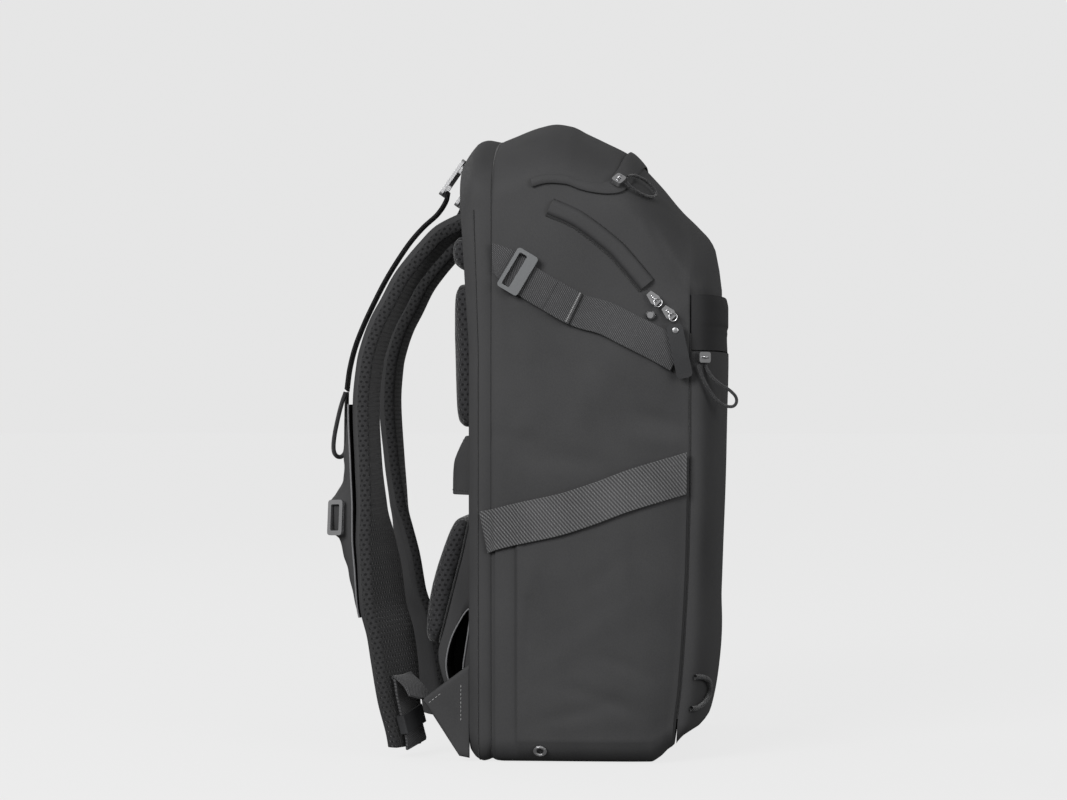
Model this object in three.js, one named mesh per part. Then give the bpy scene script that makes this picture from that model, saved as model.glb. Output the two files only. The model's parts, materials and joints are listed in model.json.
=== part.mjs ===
// Camera backpack: a soft-sided pack that stands on its base.
// Millimetres, +Z up. The outer front faces -Y, the back panel and its straps face +Y, and the
// wearer's left side, which carries the side pocket and the side zip, faces -X.
// The origin is on the flat base, under the main body.
import * as THREE from 'three';

// Driving sizes of the body
const bodyWidth = 286;
const bodyHeight = 490.5;
const mainDepth = 177.5;
const rearSeam = 53;
const bandDepth = 16.5;
const shoulderDrop = 58;
const footRadius = 18;
const sideBulgeDepth = 3;
const bodyWall = 4;
const clothWall = 2;
const frontCrown = 28;
const frontYoke = 27.6;
const panelRecess = 3;
const panelThickness = 6;

// Sizes of the pocket, the band and the webbing on the left side
const pocketDepth = 8;
const pocketFold = 1.4;
const sideBandWidth = 30;
const webbingThickness = 2.5;
const upperStrapWidth = 25;
const zipFlapWidth = 12;
const zipFlapThickness = 2.2;
const lidFlapWidth = 12;

// Sizes of the carrying system
const strapReach = 92.5;
const strapThickness = 12;
const strapCrown = 2.5;
const strapPocketMargin = 7;
const lifterWidth = 20;
const lifterThickness = 1.6;
const padThickness = 17;
const wedgeReach = 28.4;
const wedgeSpan = 240;
const wedgePocketDepth = 60;
const wingReach = 35.5;
const wingThickness = 3;
const lowerWebbingWidth = 25;
const lowerWebbingThickness = 1.8;

// Sizes of the small hardware
const buckleLength = 33;
const buckleWidth = 17.5;
const buckleSlot = 6.4;
const buckleRearBar = 2.8;
const buckleThickness = 3;
const sliderLength = 11;
const sliderWidth = 8;
const sliderThickness = 3.6;
const sliderSlope = 47;
const tabLength = 41;
const tabWidth = 12;
const tabThickness = 2.2;
const pullCordDiameter = 2.4;
const lifterLoopDiameter = 3.4;
const lashLoopDiameter = 4;
const eyeletRadius = 5.2;
const eyeletBore = 2.6;

// Steps along a free cord, for each diameter of its length
const cordSteps = 0.42;

// Gaps: between pieces that touch, and under a strip that lies on a curved wall
const seat = 0.4;
const stripSeat = 0.9;

const halfWidth = bodyWidth / 2;
const backFace = rearSeam + bandDepth;
const panelFace = backFace - panelRecess;
const left = -1;
const right = 1;

// Outline of the main body from the rear seam, at depth 0, to the front
// depth: share of mainDepth; half: share of half the width; top, foot: shares of the height
const mainRows = [
  { depth: 0.000, half: 0.986, top: 0.9710, foot: 0.0040 },
  { depth: 0.017, half: 0.996, top: 0.9740, foot: 0.0010 },
  { depth: 0.053, half: 1.000, top: 0.9790, foot: 0.0000 },
  { depth: 0.175, half: 1.000, top: 0.9953, foot: 0.0000 },
  { depth: 0.243, half: 1.000, top: 1.0000, foot: 0.0000 },
  { depth: 0.310, half: 1.000, top: 0.9966, foot: 0.0000 },
  { depth: 0.378, half: 1.000, top: 0.9850, foot: 0.0000 },
  { depth: 0.457, half: 0.998, top: 0.9716, foot: 0.0000 },
  { depth: 0.563, half: 0.995, top: 0.9520, foot: 0.0000 },
  { depth: 0.620, half: 0.992, top: 0.9330, foot: 0.0000 },
  { depth: 0.670, half: 0.988, top: 0.9140, foot: 0.0000 },
  { depth: 0.716, half: 0.983, top: 0.8955, foot: 0.0000 },
  { depth: 0.772, half: 0.976, top: 0.8700, foot: 0.0082 },
  { depth: 0.808, half: 0.969, top: 0.8550, foot: 0.0192 },
  { depth: 0.836, half: 0.962, top: 0.8450, foot: 0.0270 },
  { depth: 0.842, half: 0.940, top: 0.8430, foot: 0.0500 },
  { depth: 0.883, half: 0.905, top: 0.8277, foot: 0.0650 },
  { depth: 0.915, half: 0.850, top: 0.8150, foot: 0.0850 },
  { depth: 0.943, half: 0.740, top: 0.7960, foot: 0.1100 },
  { depth: 0.960, half: 0.600, top: 0.7640, foot: 0.1500 },
  { depth: 0.971, half: 0.430, top: 0.7320, foot: 0.2000 },
];
const mainInside = [0, 0.175, 0.310, 0.457, 0.620, 0.772, 0.808, 0.883, 0.920];
const frontSeamDepth = 0.836;
const pocketRimDepth = 0.8405;

// Outline of the rear band, from the seam to its rear rim
// depth: share of bandDepth
const bandRows = [
  { depth: 0.00, half: 0.986, top: 0.9710, foot: 0.0040 },
  { depth: 0.30, half: 0.993, top: 0.9745, foot: 0.0004 },
  { depth: 0.60, half: 0.987, top: 0.9725, foot: 0.0020 },
  { depth: 0.80, half: 0.973, top: 0.9620, foot: 0.0060 },
  { depth: 1.00, half: 0.952, top: 0.9470, foot: 0.0140 },
];
const bandInside = { half: 0.925, top: 0.9360, foot: 0.0220 };

// How far the front leans back near the foot, as shares of mainDepth
const frontLeanRows = [
  { height: 0.000, by: 0.0676 },
  { height: 0.059, by: 0.0592 },
  { height: 0.114, by: 0.0417 },
  { height: 0.192, by: 0.0254 },
  { height: 0.312, by: 0.0085 },
  { height: 0.480, by: 0.0000 },
  { height: 1.000, by: 0.0000 },
];
const leanStart = 0.524;

// How far the main front lies behind the pocket that covers it, as shares of mainDepth
const frontSlumpRows = [
  { height: 0.00, by: 0.0210 },
  { height: 0.52, by: 0.0210 },
  { height: 0.64, by: 0.0060 },
  { height: 0.70, by: 0.0000 },
  { height: 1.00, by: 0.0000 },
];

// How far the top of the rear band leans over the back, as shares of bandDepth
const rearLeanRows = [
  { height: 0.000, by: 0.000 },
  { height: 0.612, by: 0.000 },
  { height: 0.707, by: 0.140 },
  { height: 0.815, by: 0.330 },
  { height: 0.946, by: 0.570 },
  { height: 1.000, by: 0.570 },
];

// Depth of the front pocket in front of its seam, as shares of frontCrown
const frontPocketRows = [
  { height: 0.0290, out: 0.03 },
  { height: 0.0418, out: 0.36 },
  { height: 0.0504, out: 0.71 },
  { height: 0.0652, out: 0.89 },
  { height: 0.0979, out: 0.954 },
  { height: 0.1651, out: 0.990 },
  { height: 0.2956, out: 0.900 },
  { height: 0.4100, out: 0.925 },
  { height: 0.5219, out: 0.960 },
  { height: 0.6200, out: 1.000 },
  { height: 0.6290, out: 1.000 },
];

// Depth of the raised band above it, as shares of frontYoke
const frontBandRows = [
  { height: 0.6310, out: 0.985, inside: 0.900 },
  { height: 0.6560, out: 0.970, inside: 0.900 },
  { height: 0.6690, out: 1.010, inside: 0.900 },
  { height: 0.7030, out: 1.010, inside: 0.900 },
  { height: 0.7160, out: 0.965, inside: 0.900 },
];
const crownPower = 2.6;

// Path of the lid's storm flap over the dome. angle: degrees up from the shoulder
const lidFlapRows = [
  { angle: 4, depth: 0.170 },
  { angle: 5, depth: 0.290 },
  { angle: 8, depth: 0.411 },
  { angle: 16, depth: 0.512 },
  { angle: 30, depth: 0.558 },
  { angle: 45, depth: 0.580 },
  { angle: 68, depth: 0.600 },
  { angle: 90, depth: 0.603 },
];

// Path of the zip flap and of the upper strap on the left side
const zipFlapRows = [
  { depth: 0.250, height: 0.8500 },
  { depth: 0.372, height: 0.8290 },
  { depth: 0.510, height: 0.7912 },
  { depth: 0.574, height: 0.7670 },
  { depth: 0.660, height: 0.7300 },
];
const upperStrapRows = [
  { depth: 0.014, height: 0.7750 },
  { depth: 0.081, height: 0.7640 },
  { depth: 0.163, height: 0.7360 },
  { depth: 0.262, height: 0.7125 },
  { depth: 0.372, height: 0.6910 },
  { depth: 0.484, height: 0.6790 },
  { depth: 0.586, height: 0.6605 },
  { depth: 0.698, height: 0.6400 },
  { depth: 0.790, height: 0.6215 },
];
const upperStrapSplit = 0.150;
const strapFoldFrom = 0.272;
const strapFoldTo = 0.372;

// The band across the side pocket: its middle line
const sideBandRows = [
  { depth: -0.030, height: 0.3530 },
  { depth: 0.103, height: 0.3660 },
  { depth: 0.290, height: 0.3810 },
  { depth: 0.440, height: 0.3985 },
  { depth: 0.585, height: 0.4180 },
  { depth: 0.828, height: 0.4440 },
];

// The side pocket, from its rear edge to its front edge. depth: share of mainDepth; foot: share
// of footRadius above the base; up: share from the foot's arc to the hem; bulge: of pocketDepth
const pocketColumns = [
  { depth: 0.020, bulge: 0.05 },
  { depth: 0.053, bulge: 0.18 },
  { depth: 0.098, bulge: 0.30 },
  { depth: 0.118, bulge: 0.78 },
  { depth: 0.175, bulge: 0.92 },
  { depth: 0.243, bulge: 1.00 },
  { depth: 0.310, bulge: 1.00 },
  { depth: 0.378, bulge: 1.00 },
  { depth: 0.457, bulge: 0.98 },
  { depth: 0.563, bulge: 1.00 },
  { depth: 0.620, bulge: 0.92 },
  { depth: 0.670, bulge: 0.82 },
  { depth: 0.716, bulge: 0.68 },
  { depth: 0.772, bulge: 0.38 },
  { depth: 0.808, bulge: 0.14 },
  { depth: 0.826, bulge: 0.05 },
];
const pocketRows = [
  { foot: 0.134, up: 0.00, bulge: 0.05 },
  { foot: 0.50, up: 0.00, bulge: 0.30 },
  { foot: 1.00, up: 0.00, bulge: 0.64 },
  { foot: 1.00, up: 0.09, bulge: 0.88 },
  { foot: 1.00, up: 0.20, bulge: 1.00 },
  { foot: 1.00, up: 0.33, bulge: 1.00 },
  { foot: 1.00, up: 0.46, bulge: 1.00 },
  { foot: 1.00, up: 0.60, bulge: 1.00 },
  { foot: 1.00, up: 0.74, bulge: 1.00 },
  { foot: 1.00, up: 0.88, bulge: 0.96 },
  { foot: 1.00, up: 1.00, bulge: 0.92 },
];
const pocketFoldRows = [
  { depth: 0.26, up: 0.62, slope: -0.45, width: 0.060, rise: -1.0 },
  { depth: 0.46, up: 0.50, slope: -0.65, width: 0.065, rise: 0.9 },
  { depth: 0.63, up: 0.66, slope: -0.48, width: 0.057, rise: -0.8 },
];

// Broad dents of the left side wall. depth, height: the middle; sink: share of sideBulgeDepth
const sideDents = [
  { depth: 0.700, height: 0.800, along: 0.110, across: 0.030, slope: -1.25, sink: 0.45 },
  { depth: 0.160, height: 0.430, along: 0.120, across: 0.026, slope: 0.50, sink: 0.40 },
  { depth: 0.480, height: 0.560, along: 0.200, across: 0.050, slope: -0.35, sink: 0.35 },
];

// The shoulder strap, from its root to its end, along the outer edge of its outer face
// height: share of bodyHeight; reach: share of strapReach behind the back face; edge: share of
// half the width; width: share of half the width; turn: degrees; thick: share of strapThickness
const strapRows = [
  { height: 0.8500, reach: 0.072, edge: 0.643, width: 0.410, turn: 0, thick: 0.90 },
  { height: 0.8440, reach: 0.157, edge: 0.643, width: 0.420, turn: 0, thick: 1.00 },
  { height: 0.8257, reach: 0.341, edge: 0.650, width: 0.430, turn: 1, thick: 1.00 },
  { height: 0.8030, reach: 0.459, edge: 0.657, width: 0.437, turn: 1, thick: 1.00 },
  { height: 0.7790, reach: 0.568, edge: 0.664, width: 0.444, turn: 1, thick: 1.00 },
  { height: 0.7510, reach: 0.676, edge: 0.678, width: 0.448, turn: 1, thick: 1.00 },
  { height: 0.7135, reach: 0.778, edge: 0.699, width: 0.452, turn: 1, thick: 1.00 },
  { height: 0.6810, reach: 0.868, edge: 0.713, width: 0.456, turn: 1, thick: 1.00 },
  { height: 0.6480, reach: 0.931, edge: 0.727, width: 0.460, turn: 1, thick: 1.00 },
  { height: 0.6157, reach: 0.972, edge: 0.741, width: 0.462, turn: 1, thick: 1.00 },
  { height: 0.5505, reach: 1.000, edge: 0.769, width: 0.462, turn: 1, thick: 1.00 },
  { height: 0.4526, reach: 0.973, edge: 0.818, width: 0.462, turn: 2, thick: 0.95 },
  { height: 0.3830, reach: 0.957, edge: 0.846, width: 0.462, turn: 5, thick: 0.95 },
  { height: 0.3420, reach: 0.962, edge: 0.860, width: 0.462, turn: 11, thick: 0.95 },
  { height: 0.2940, reach: 0.946, edge: 0.874, width: 0.462, turn: 15, thick: 0.95 },
  { height: 0.2340, reach: 0.924, edge: 0.888, width: 0.448, turn: 18, thick: 0.95 },
  { height: 0.1890, reach: 0.865, edge: 0.895, width: 0.434, turn: 20, thick: 0.92 },
  { height: 0.1500, reach: 0.832, edge: 0.895, width: 0.410, turn: 22, thick: 0.90 },
  { height: 0.0897, reach: 0.778, edge: 0.888, width: 0.350, turn: 25, thick: 0.80 },
  { height: 0.0340, reach: 0.707, edge: 0.860, width: 0.270, turn: 27, thick: 0.75 },
  { height: 0.0180, reach: 0.695, edge: 0.846, width: 0.240, turn: 28, thick: 0.70 },
];

// The layer on the left strap. rise: share of strapThickness above the strap's edge line
const strapPocketRows = [
  { height: 0.5480, rise: 0.36 },
  { height: 0.5100, rise: 0.62 },
  { height: 0.4680, rise: 0.92 },
  { height: 0.4320, rise: 1.02 },
  { height: 0.4120, rise: 1.62 },
  { height: 0.3930, rise: 2.15 },
  { height: 0.3700, rise: 2.20 },
  { height: 0.3470, rise: 2.00 },
  { height: 0.3400, rise: 1.62 },
  { height: 0.3080, rise: 1.30 },
  { height: 0.2660, rise: 0.95 },
  { height: 0.2200, rise: 0.50 },
];

// The load lifter's webbing, from its buckle down along the strap. spread: share of half width
const lifterRows = [
  { height: 0.8860, reach: 0.259, spread: 0.420 },
  { height: 0.8700, reach: 0.280, spread: 0.420 },
  { height: 0.8500, reach: 0.350, spread: 0.422 },
  { height: 0.8290, reach: 0.470, spread: 0.430 },
  { height: 0.8050, reach: 0.580, spread: 0.436 },
  { height: 0.7750, reach: 0.688, spread: 0.444 },
  { height: 0.7440, reach: 0.785, spread: 0.456 },
  { height: 0.7080, reach: 0.880, spread: 0.472 },
  { height: 0.6740, reach: 0.962, spread: 0.484 },
  { height: 0.6400, reach: 1.030, spread: 0.496 },
  { height: 0.6050, reach: 1.075, spread: 0.508 },
  { height: 0.5700, reach: 1.098, spread: 0.520 },
];
const lifterBuckleAt = { height: 0.9070, reach: 0.214, spread: 0.420 };
const lifterBuckleSlope = 55;
const lifterAnchorRows = [
  { height: 0.9080, reach: 0.052 },
  { height: 0.9130, reach: 0.090 },
  { height: 0.9165, reach: 0.138 },
];

// Outlines of the back pads. spreads and heights: shares of half the width and the height
const padCorner = 0.085;
const padCornerSteps = 2;
const upperPad = { inner: 0.235, outer: 0.810, low: 0.7560, high: 0.8110 };
const midPad = { inner: 0.235, outer: 0.810, low: 0.5110, high: 0.7380 };
const lumbarPad = { inner: 0.160, outer: 0.800, low: 0.1740, high: 0.3760 };
const padLevels = [
  { inset: 0.00, out: 0.00 },
  { inset: 0.00, out: 0.55 },
  { inset: 0.020, out: 0.86 },
  { inset: 0.065, out: 1.00 },
];

// The smooth sleeve between the pads. out: share of padThickness
const sleeveRows = [
  { height: 0.4080, out: 1.10 },
  { height: 0.4300, out: 1.06 },
  { height: 0.4560, out: 0.98 },
  { height: 0.4800, out: 0.72 },
  { height: 0.4990, out: 0.42 },
];
const sleeveColumns = [
  { spread: 0.860, out: 0.00 },
  { spread: 0.800, out: 0.28 },
  { spread: 0.700, out: 0.92 },
  { spread: 0.600, out: 1.00 },
  { spread: 0.300, out: 1.00 },
  { spread: 0.000, out: 1.00 },
];

// Profile of the lumbar wedge, as shares of wedgeReach and bodyHeight, and of its slit pocket
const wedgeProfile = [
  { reach: 0.00, height: 0.1020 },
  { reach: 0.32, height: 0.1020 },
  { reach: 0.74, height: 0.1090 },
  { reach: 0.90, height: 0.1290 },
  { reach: 1.00, height: 0.1640 },
  { reach: 0.84, height: 0.2010 },
  { reach: 0.66, height: 0.2420 },
  { reach: 0.48, height: 0.2830 },
  { reach: 0.30, height: 0.3240 },
  { reach: 0.16, height: 0.3640 },
  { reach: 0.12, height: 0.3780 },
  { reach: 0.00, height: 0.3820 },
  { reach: 0.00, height: 0.2600 },
  { reach: 0.00, height: 0.1700 },
];
const slitProfile = [
  { reach: 0.34, height: 0.1230 },
  { reach: 0.48, height: 0.1180 },
  { reach: 0.68, height: 0.1200 },
  { reach: 0.76, height: 0.1330 },
  { reach: 0.78, height: 0.1500 },
  { reach: 0.72, height: 0.1720 },
  { reach: 0.60, height: 0.1930 },
  { reach: 0.44, height: 0.2110 },
  { reach: 0.28, height: 0.2260 },
  { reach: 0.16, height: 0.2320 },
  { reach: 0.14, height: 0.2220 },
  { reach: 0.18, height: 0.2000 },
  { reach: 0.26, height: 0.1700 },
  { reach: 0.32, height: 0.1450 },
];

// Outline of the strap wing, as shares of wingReach and bodyHeight
const wingSpread = 0.936;
const wingProfile = [
  { reach: 0.00, height: 0.0060 },
  { reach: 0.22, height: 0.0090 },
  { reach: 0.92, height: 0.0860 },
  { reach: 1.00, height: 0.0930 },
  { reach: 0.96, height: 0.0985 },
  { reach: 0.00, height: 0.1500 },
];

// The webbing from the wing to the strap's lower end. lift: mm behind the strap's inner face
const webbingStart = [
  { spread: 0.905, reach: 0.408, height: 0.0960 },
  { spread: 0.850, reach: 0.480, height: 0.1140 },
];
const webbingHeights = [0.1240, 0.1140, 0.0897, 0.0340, 0.0200];
const webbingLift = 5.2;
const webbingAcross = 19;
const keeperHeight = 0.0560;
const keeperWall = 1.6;
const keeperLength = 14;

// Free cords: points chosen by hand, in millimetres
const lidPullRoute = [
  [-136.6, -49.0, 439.4], [-134.8, -51.3, 440.3], [-132.4, -53.7, 440.6], [-129.2, -56.0, 440.3],
  [-125.5, -58.2, 439.6], [-121.2, -60.5, 438.6], [-117.0, -62.8, 437.2], [-113.3, -65.0, 435.4],
  [-110.7, -67.4, 432.8], [-110.6, -69.2, 429.6], [-113.2, -69.5, 426.9], [-117.2, -67.9, 425.6],
  [-121.6, -65.5, 425.3], [-125.6, -62.9, 425.6], [-129.4, -60.2, 426.4], [-133.0, -57.2, 427.9],
  [-136.2, -53.8, 430.0], [-138.4, -50.8, 432.4], [-139.5, -48.3, 434.9],
];
const frontPullRoute = [
  [-136.6, -107.0, 298.6], [-137.3, -108.2, 295.6], [-137.5, -110.2, 292.2], [-137.3, -112.9, 288.8],
  [-136.6, -116.4, 285.6], [-135.5, -120.2, 282.9], [-134.2, -124.0, 280.4], [-132.9, -127.4, 277.6],
  [-131.9, -130.0, 274.2], [-131.7, -130.3, 270.4], [-132.5, -128.2, 267.7], [-133.8, -124.6, 267.3],
  [-135.2, -120.6, 268.6], [-136.8, -116.4, 271.6], [-138.4, -112.7, 275.8], [-139.9, -109.5, 280.6],
  [-141.2, -106.6, 286.0], [-142.1, -104.0, 292.0], [-142.4, -102.0, 298.6],
];
const lifterLoopRoute = [
  [-79.4, 171.4, 278.4], [-79.8, 173.6, 272.0], [-80.4, 175.6, 265.0], [-81.2, 177.4, 257.0],
  [-82.0, 179.0, 249.0], [-82.7, 180.1, 241.5], [-83.0, 180.4, 235.4], [-82.3, 179.9, 231.5],
  [-80.2, 178.4, 228.9], [-77.3, 176.4, 228.0], [-74.4, 174.4, 228.9], [-72.3, 172.9, 231.5],
  [-71.5, 172.3, 235.4], [-71.4, 172.1, 242.0], [-71.6, 172.0, 250.0], [-72.2, 171.8, 259.0],
  [-73.0, 171.5, 268.5], [-73.6, 171.2, 278.4],
];

// Mesh helpers

function clamp(value, low, high) {
  return Math.min(high, Math.max(low, value));
}

function smooth(value) {
  const t = clamp(value, 0, 1);
  return t * t * (3 - 2 * t);
}

function rowAt(rows, key, value) {
  const rising = rows[rows.length - 1][key] > rows[0][key];
  const before = (row) => (rising ? row[key] < value : row[key] > value);
  let next = 1;
  while (next < rows.length - 1 && before(rows[next])) next += 1;
  const low = rows[next - 1];
  const high = rows[next];
  const t = clamp((value - low[key]) / (high[key] - low[key]), 0, 1);
  const row = {};
  for (const name of Object.keys(low)) row[name] = low[name] + (high[name] - low[name]) * t;
  return row;
}

function solid(points, faces) {
  let volume = 0;
  for (const [a, b, c] of faces) {
    volume += points[a].dot(new THREE.Vector3().crossVectors(points[b], points[c]));
  }
  const outward = volume > 0 ? faces : faces.map(([a, b, c]) => [a, c, b]);
  const geometry = new THREE.BufferGeometry();
  const position = points.flatMap((point) => [point.x, point.y, point.z]);
  geometry.setAttribute('position', new THREE.Float32BufferAttribute(position, 3));
  geometry.setIndex(outward.flat());
  geometry.computeVertexNormals();
  return geometry;
}

// A closed skin through rings of equal count. It closes on itself, or ends in two caps.
function skin(rings, closes = false) {
  const count = rings[0].length;
  const points = rings.flat();
  const faces = [];
  const steps = closes ? rings.length : rings.length - 1;
  for (let i = 0; i < steps; i += 1) {
    const here = i * count;
    const there = ((i + 1) % rings.length) * count;
    for (let j = 0; j < count; j += 1) {
      const k = (j + 1) % count;
      faces.push([here + j, here + k, there + k], [here + j, there + k, there + j]);
    }
  }
  if (!closes) {
    addCap(points, faces, rings[0], 0, true);
    addCap(points, faces, rings[rings.length - 1], (rings.length - 1) * count, false);
  }
  return solid(points, faces);
}

function addCap(points, faces, ring, start, flipped) {
  const middle = new THREE.Vector3();
  for (const point of ring) middle.addScaledVector(point, 1 / ring.length);
  const centre = points.push(middle) - 1;
  for (let j = 0; j < ring.length; j += 1) {
    const k = (j + 1) % ring.length;
    faces.push(flipped ? [centre, start + k, start + j] : [centre, start + j, start + k]);
  }
}

// A sheet with thickness, from two grids of equal size
function slab(outer, inner) {
  const rows = outer.length;
  const columns = outer[0].length;
  const points = [...outer.flat(), ...inner.flat()];
  const faces = [];
  const under = rows * columns;
  const quad = (a, b, c, d) => faces.push([a, b, c], [a, c, d]);
  for (let i = 0; i < rows - 1; i += 1) {
    for (let j = 0; j < columns - 1; j += 1) {
      const a = i * columns + j;
      quad(a, a + 1, a + columns + 1, a + columns);
      quad(under + a, under + a + columns, under + a + columns + 1, under + a + 1);
    }
  }
  const rim = [];
  for (let j = 0; j < columns - 1; j += 1) rim.push(j);
  for (let i = 0; i < rows - 1; i += 1) rim.push(i * columns + columns - 1);
  for (let j = columns - 1; j > 0; j -= 1) rim.push((rows - 1) * columns + j);
  for (let i = rows - 1; i > 0; i -= 1) rim.push(i * columns);
  rim.forEach((a, index) => {
    const b = rim[(index + 1) % rim.length];
    quad(b, a, under + a, under + b);
  });
  return solid(points, faces);
}

function grid(rows, columns, place) {
  return rows.map((row) => columns.map((column) => place(row, column)));
}

function spread(low, high, steps) {
  return Array.from({ length: steps + 1 }, (_, i) => low + ((high - low) * i) / steps);
}

function tubeAlong(route, diameter, sides, stepsPerDiameter) {
  const curve = new THREE.CatmullRomCurve3(route.map((point) => new THREE.Vector3(...point)));
  const corners = [];
  for (let i = 0; i < sides; i += 1) {
    const turn = (2 * Math.PI * i) / sides;
    corners.push(new THREE.Vector2(Math.cos(turn), Math.sin(turn)).multiplyScalar(diameter / 2));
  }
  const steps = Math.round((curve.getLength() / diameter) * stepsPerDiameter);
  const settings = { steps, bevelEnabled: false, extrudePath: curve };
  return new THREE.ExtrudeGeometry(new THREE.Shape(corners), settings);
}

function roundedRectangle(shape, width, height, radius) {
  const x = width / 2;
  const y = height / 2;
  shape.moveTo(-x + radius, -y);
  shape.lineTo(x - radius, -y);
  shape.absarc(x - radius, -y + radius, radius, -Math.PI / 2, 0);
  shape.lineTo(x, y - radius);
  shape.absarc(x - radius, y - radius, radius, 0, Math.PI / 2);
  shape.lineTo(-x + radius, y);
  shape.absarc(-x + radius, y - radius, radius, Math.PI / 2, Math.PI);
  shape.lineTo(-x, -y + radius);
  shape.absarc(-x + radius, -y + radius, radius, Math.PI, 1.5 * Math.PI);
  return shape;
}

function plate(shape, thickness, curveSegments = 4) {
  const settings = { depth: thickness, bevelEnabled: false, curveSegments };
  return new THREE.ExtrudeGeometry(shape, settings).translate(0, 0, -thickness / 2);
}

// Turns a flat plate so that its x, y and z run along three given directions
function turnTo(geometry, x, y, z, origin) {
  const basis = new THREE.Matrix4().makeBasis(x, y, z).setPosition(origin);
  return geometry.applyMatrix4(basis);
}

// The body's outline and walls

function frontLean(height) {
  return rowAt(frontLeanRows, 'height', height).by * mainDepth;
}

function leanGrip(depth) {
  return smooth((depth - leanStart) / (frontSeamDepth - leanStart));
}

function slumpGrip(depth) {
  const last = mainRows[mainRows.length - 1].depth;
  return smooth((depth - frontSeamDepth) / (last - frontSeamDepth));
}

function rearLean(height) {
  return rowAt(rearLeanRows, 'height', height).by * bandDepth;
}

const footSteps = 3;
const sideSteps = 8;
const domeSteps = 7;
const domePower = 2.1;

function domeOffset(angle, half, rise) {
  const c = Math.max(0, Math.cos(angle)) ** (2 / domePower);
  const s = Math.max(0, Math.sin(angle)) ** (2 / domePower);
  return { x: half * c, z: rise * s };
}

// One half of the body's outline, from the middle of the base to the middle of the top
function halfOutline(row, inset = 0) {
  const half = row.half * halfWidth - inset;
  const foot = row.foot * bodyHeight + inset;
  const shoulder = row.top * bodyHeight - shoulderDrop;
  const radius = footRadius - inset;
  const points = [{ x: 0, z: foot }, { x: (half - radius) / 2, z: foot }];
  for (const turn of spread(-Math.PI / 2, 0, footSteps)) {
    const x = half - radius + radius * Math.cos(turn);
    points.push({ x, z: foot + radius + radius * Math.sin(turn) });
  }
  const low = foot + radius;
  for (const t of spread(0, 1, sideSteps).slice(1)) {
    const bulge = sideBulgeDepth * Math.sin(Math.PI * t);
    points.push({ x: half + bulge, z: low + (shoulder - low) * t });
  }
  for (const turn of spread(0, Math.PI / 2, domeSteps).slice(1)) {
    const dome = domeOffset(turn, half, shoulderDrop - inset);
    points.push({ x: dome.x, z: shoulder + dome.z });
  }
  points[points.length - 1].x = 0;
  return points;
}

function fullOutline(row, inset) {
  const half = halfOutline(row, inset);
  const mirrored = half.slice(1, -1).reverse().map(({ x, z }) => ({ x: -x, z }));
  return [...half, ...mirrored];
}

function mainPoint(x, depth, z) {
  const height = z / bodyHeight;
  const lean = frontLean(height) * leanGrip(depth);
  const slump = rowAt(frontSlumpRows, 'height', height).by * mainDepth * slumpGrip(depth);
  return new THREE.Vector3(x, rearSeam - depth * mainDepth + lean + slump, z);
}

function bandPoint(x, depth, z) {
  const y = rearSeam + depth * bandDepth + rearLean(z / bodyHeight) * depth;
  return new THREE.Vector3(x, y, z);
}

// How far the left wall is pushed in at a place, for its broad dents
function dentAt(depth, height) {
  let sink = 0;
  for (const dent of sideDents) {
    const du = (depth - dent.depth) * mainDepth;
    const dv = (height - dent.height) * bodyHeight;
    const length = Math.hypot(1, dent.slope);
    const along = (du + dv * dent.slope) / length / (dent.along * mainDepth);
    const across = (dv - du * dent.slope) / length / (dent.across * bodyHeight);
    sink += dent.sink * sideBulgeDepth * Math.exp(-(along * along) - across * across);
  }
  return sink;
}

function mainRing(depth, inset, dented) {
  const row = rowAt(mainRows, 'depth', depth);
  const wallStart = row.half * halfWidth * 0.9;
  return fullOutline(row, inset).map(({ x, z }) => {
    const dent = dented && x < -wallStart ? dentAt(depth, z / bodyHeight) : 0;
    return mainPoint(x + dent, depth, z);
  });
}

// Half the width of the body at a place on its side wall
function outlineHalf(row, z) {
  const points = halfOutline(row);
  let next = footSteps;
  while (next < points.length - 1 && points[next].z < z) next += 1;
  const low = points[next - 1];
  const high = points[next];
  return low.x + (high.x - low.x) * clamp((z - low.z) / (high.z - low.z), 0, 1);
}

function sideHalf(y, z) {
  if (y > rearSeam) return outlineHalf(rowAt(bandRows, 'depth', (y - rearSeam) / bandDepth), z);
  let depth = (rearSeam - y) / mainDepth;
  for (let pass = 0; pass < 4; pass += 1) {
    depth = (rearSeam - y + frontLean(z / bodyHeight) * leanGrip(depth)) / mainDepth;
  }
  return outlineHalf(rowAt(mainRows, 'depth', depth), z);
}

function leftWall(y, z, lift) {
  return new THREE.Vector3(-(sideHalf(y, z) + lift), y, z);
}

function depthToY(depth) {
  return rearSeam - depth * mainDepth;
}

function makeMainShell() {
  const depths = mainRows.map((row) => row.depth);
  const outer = depths.map((depth) => mainRing(depth, 0, true));
  const inner = mainInside.map((depth) => mainRing(depth, bodyWall, false));
  return skin([...outer.reverse(), ...inner]);
}

function makeRearBand() {
  const gap = seat / bandDepth;
  const outer = bandRows.map((row) => {
    const depth = Math.max(gap, row.depth);
    return fullOutline(row, 0).map(({ x, z }) => bandPoint(x, depth, z));
  });
  const inner = [1, gap].map((depth) => (
    fullOutline(bandInside, 0).map(({ x, z }) => bandPoint(x, depth, z))
  ));
  return skin([...outer, ...inner], true);
}

// The rear face of the board that closes the back
function panelY(z, lift = 0) {
  const share = (panelFace - rearSeam) / bandDepth;
  return panelFace + rearLean(z / bodyHeight) * share + lift;
}

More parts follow.
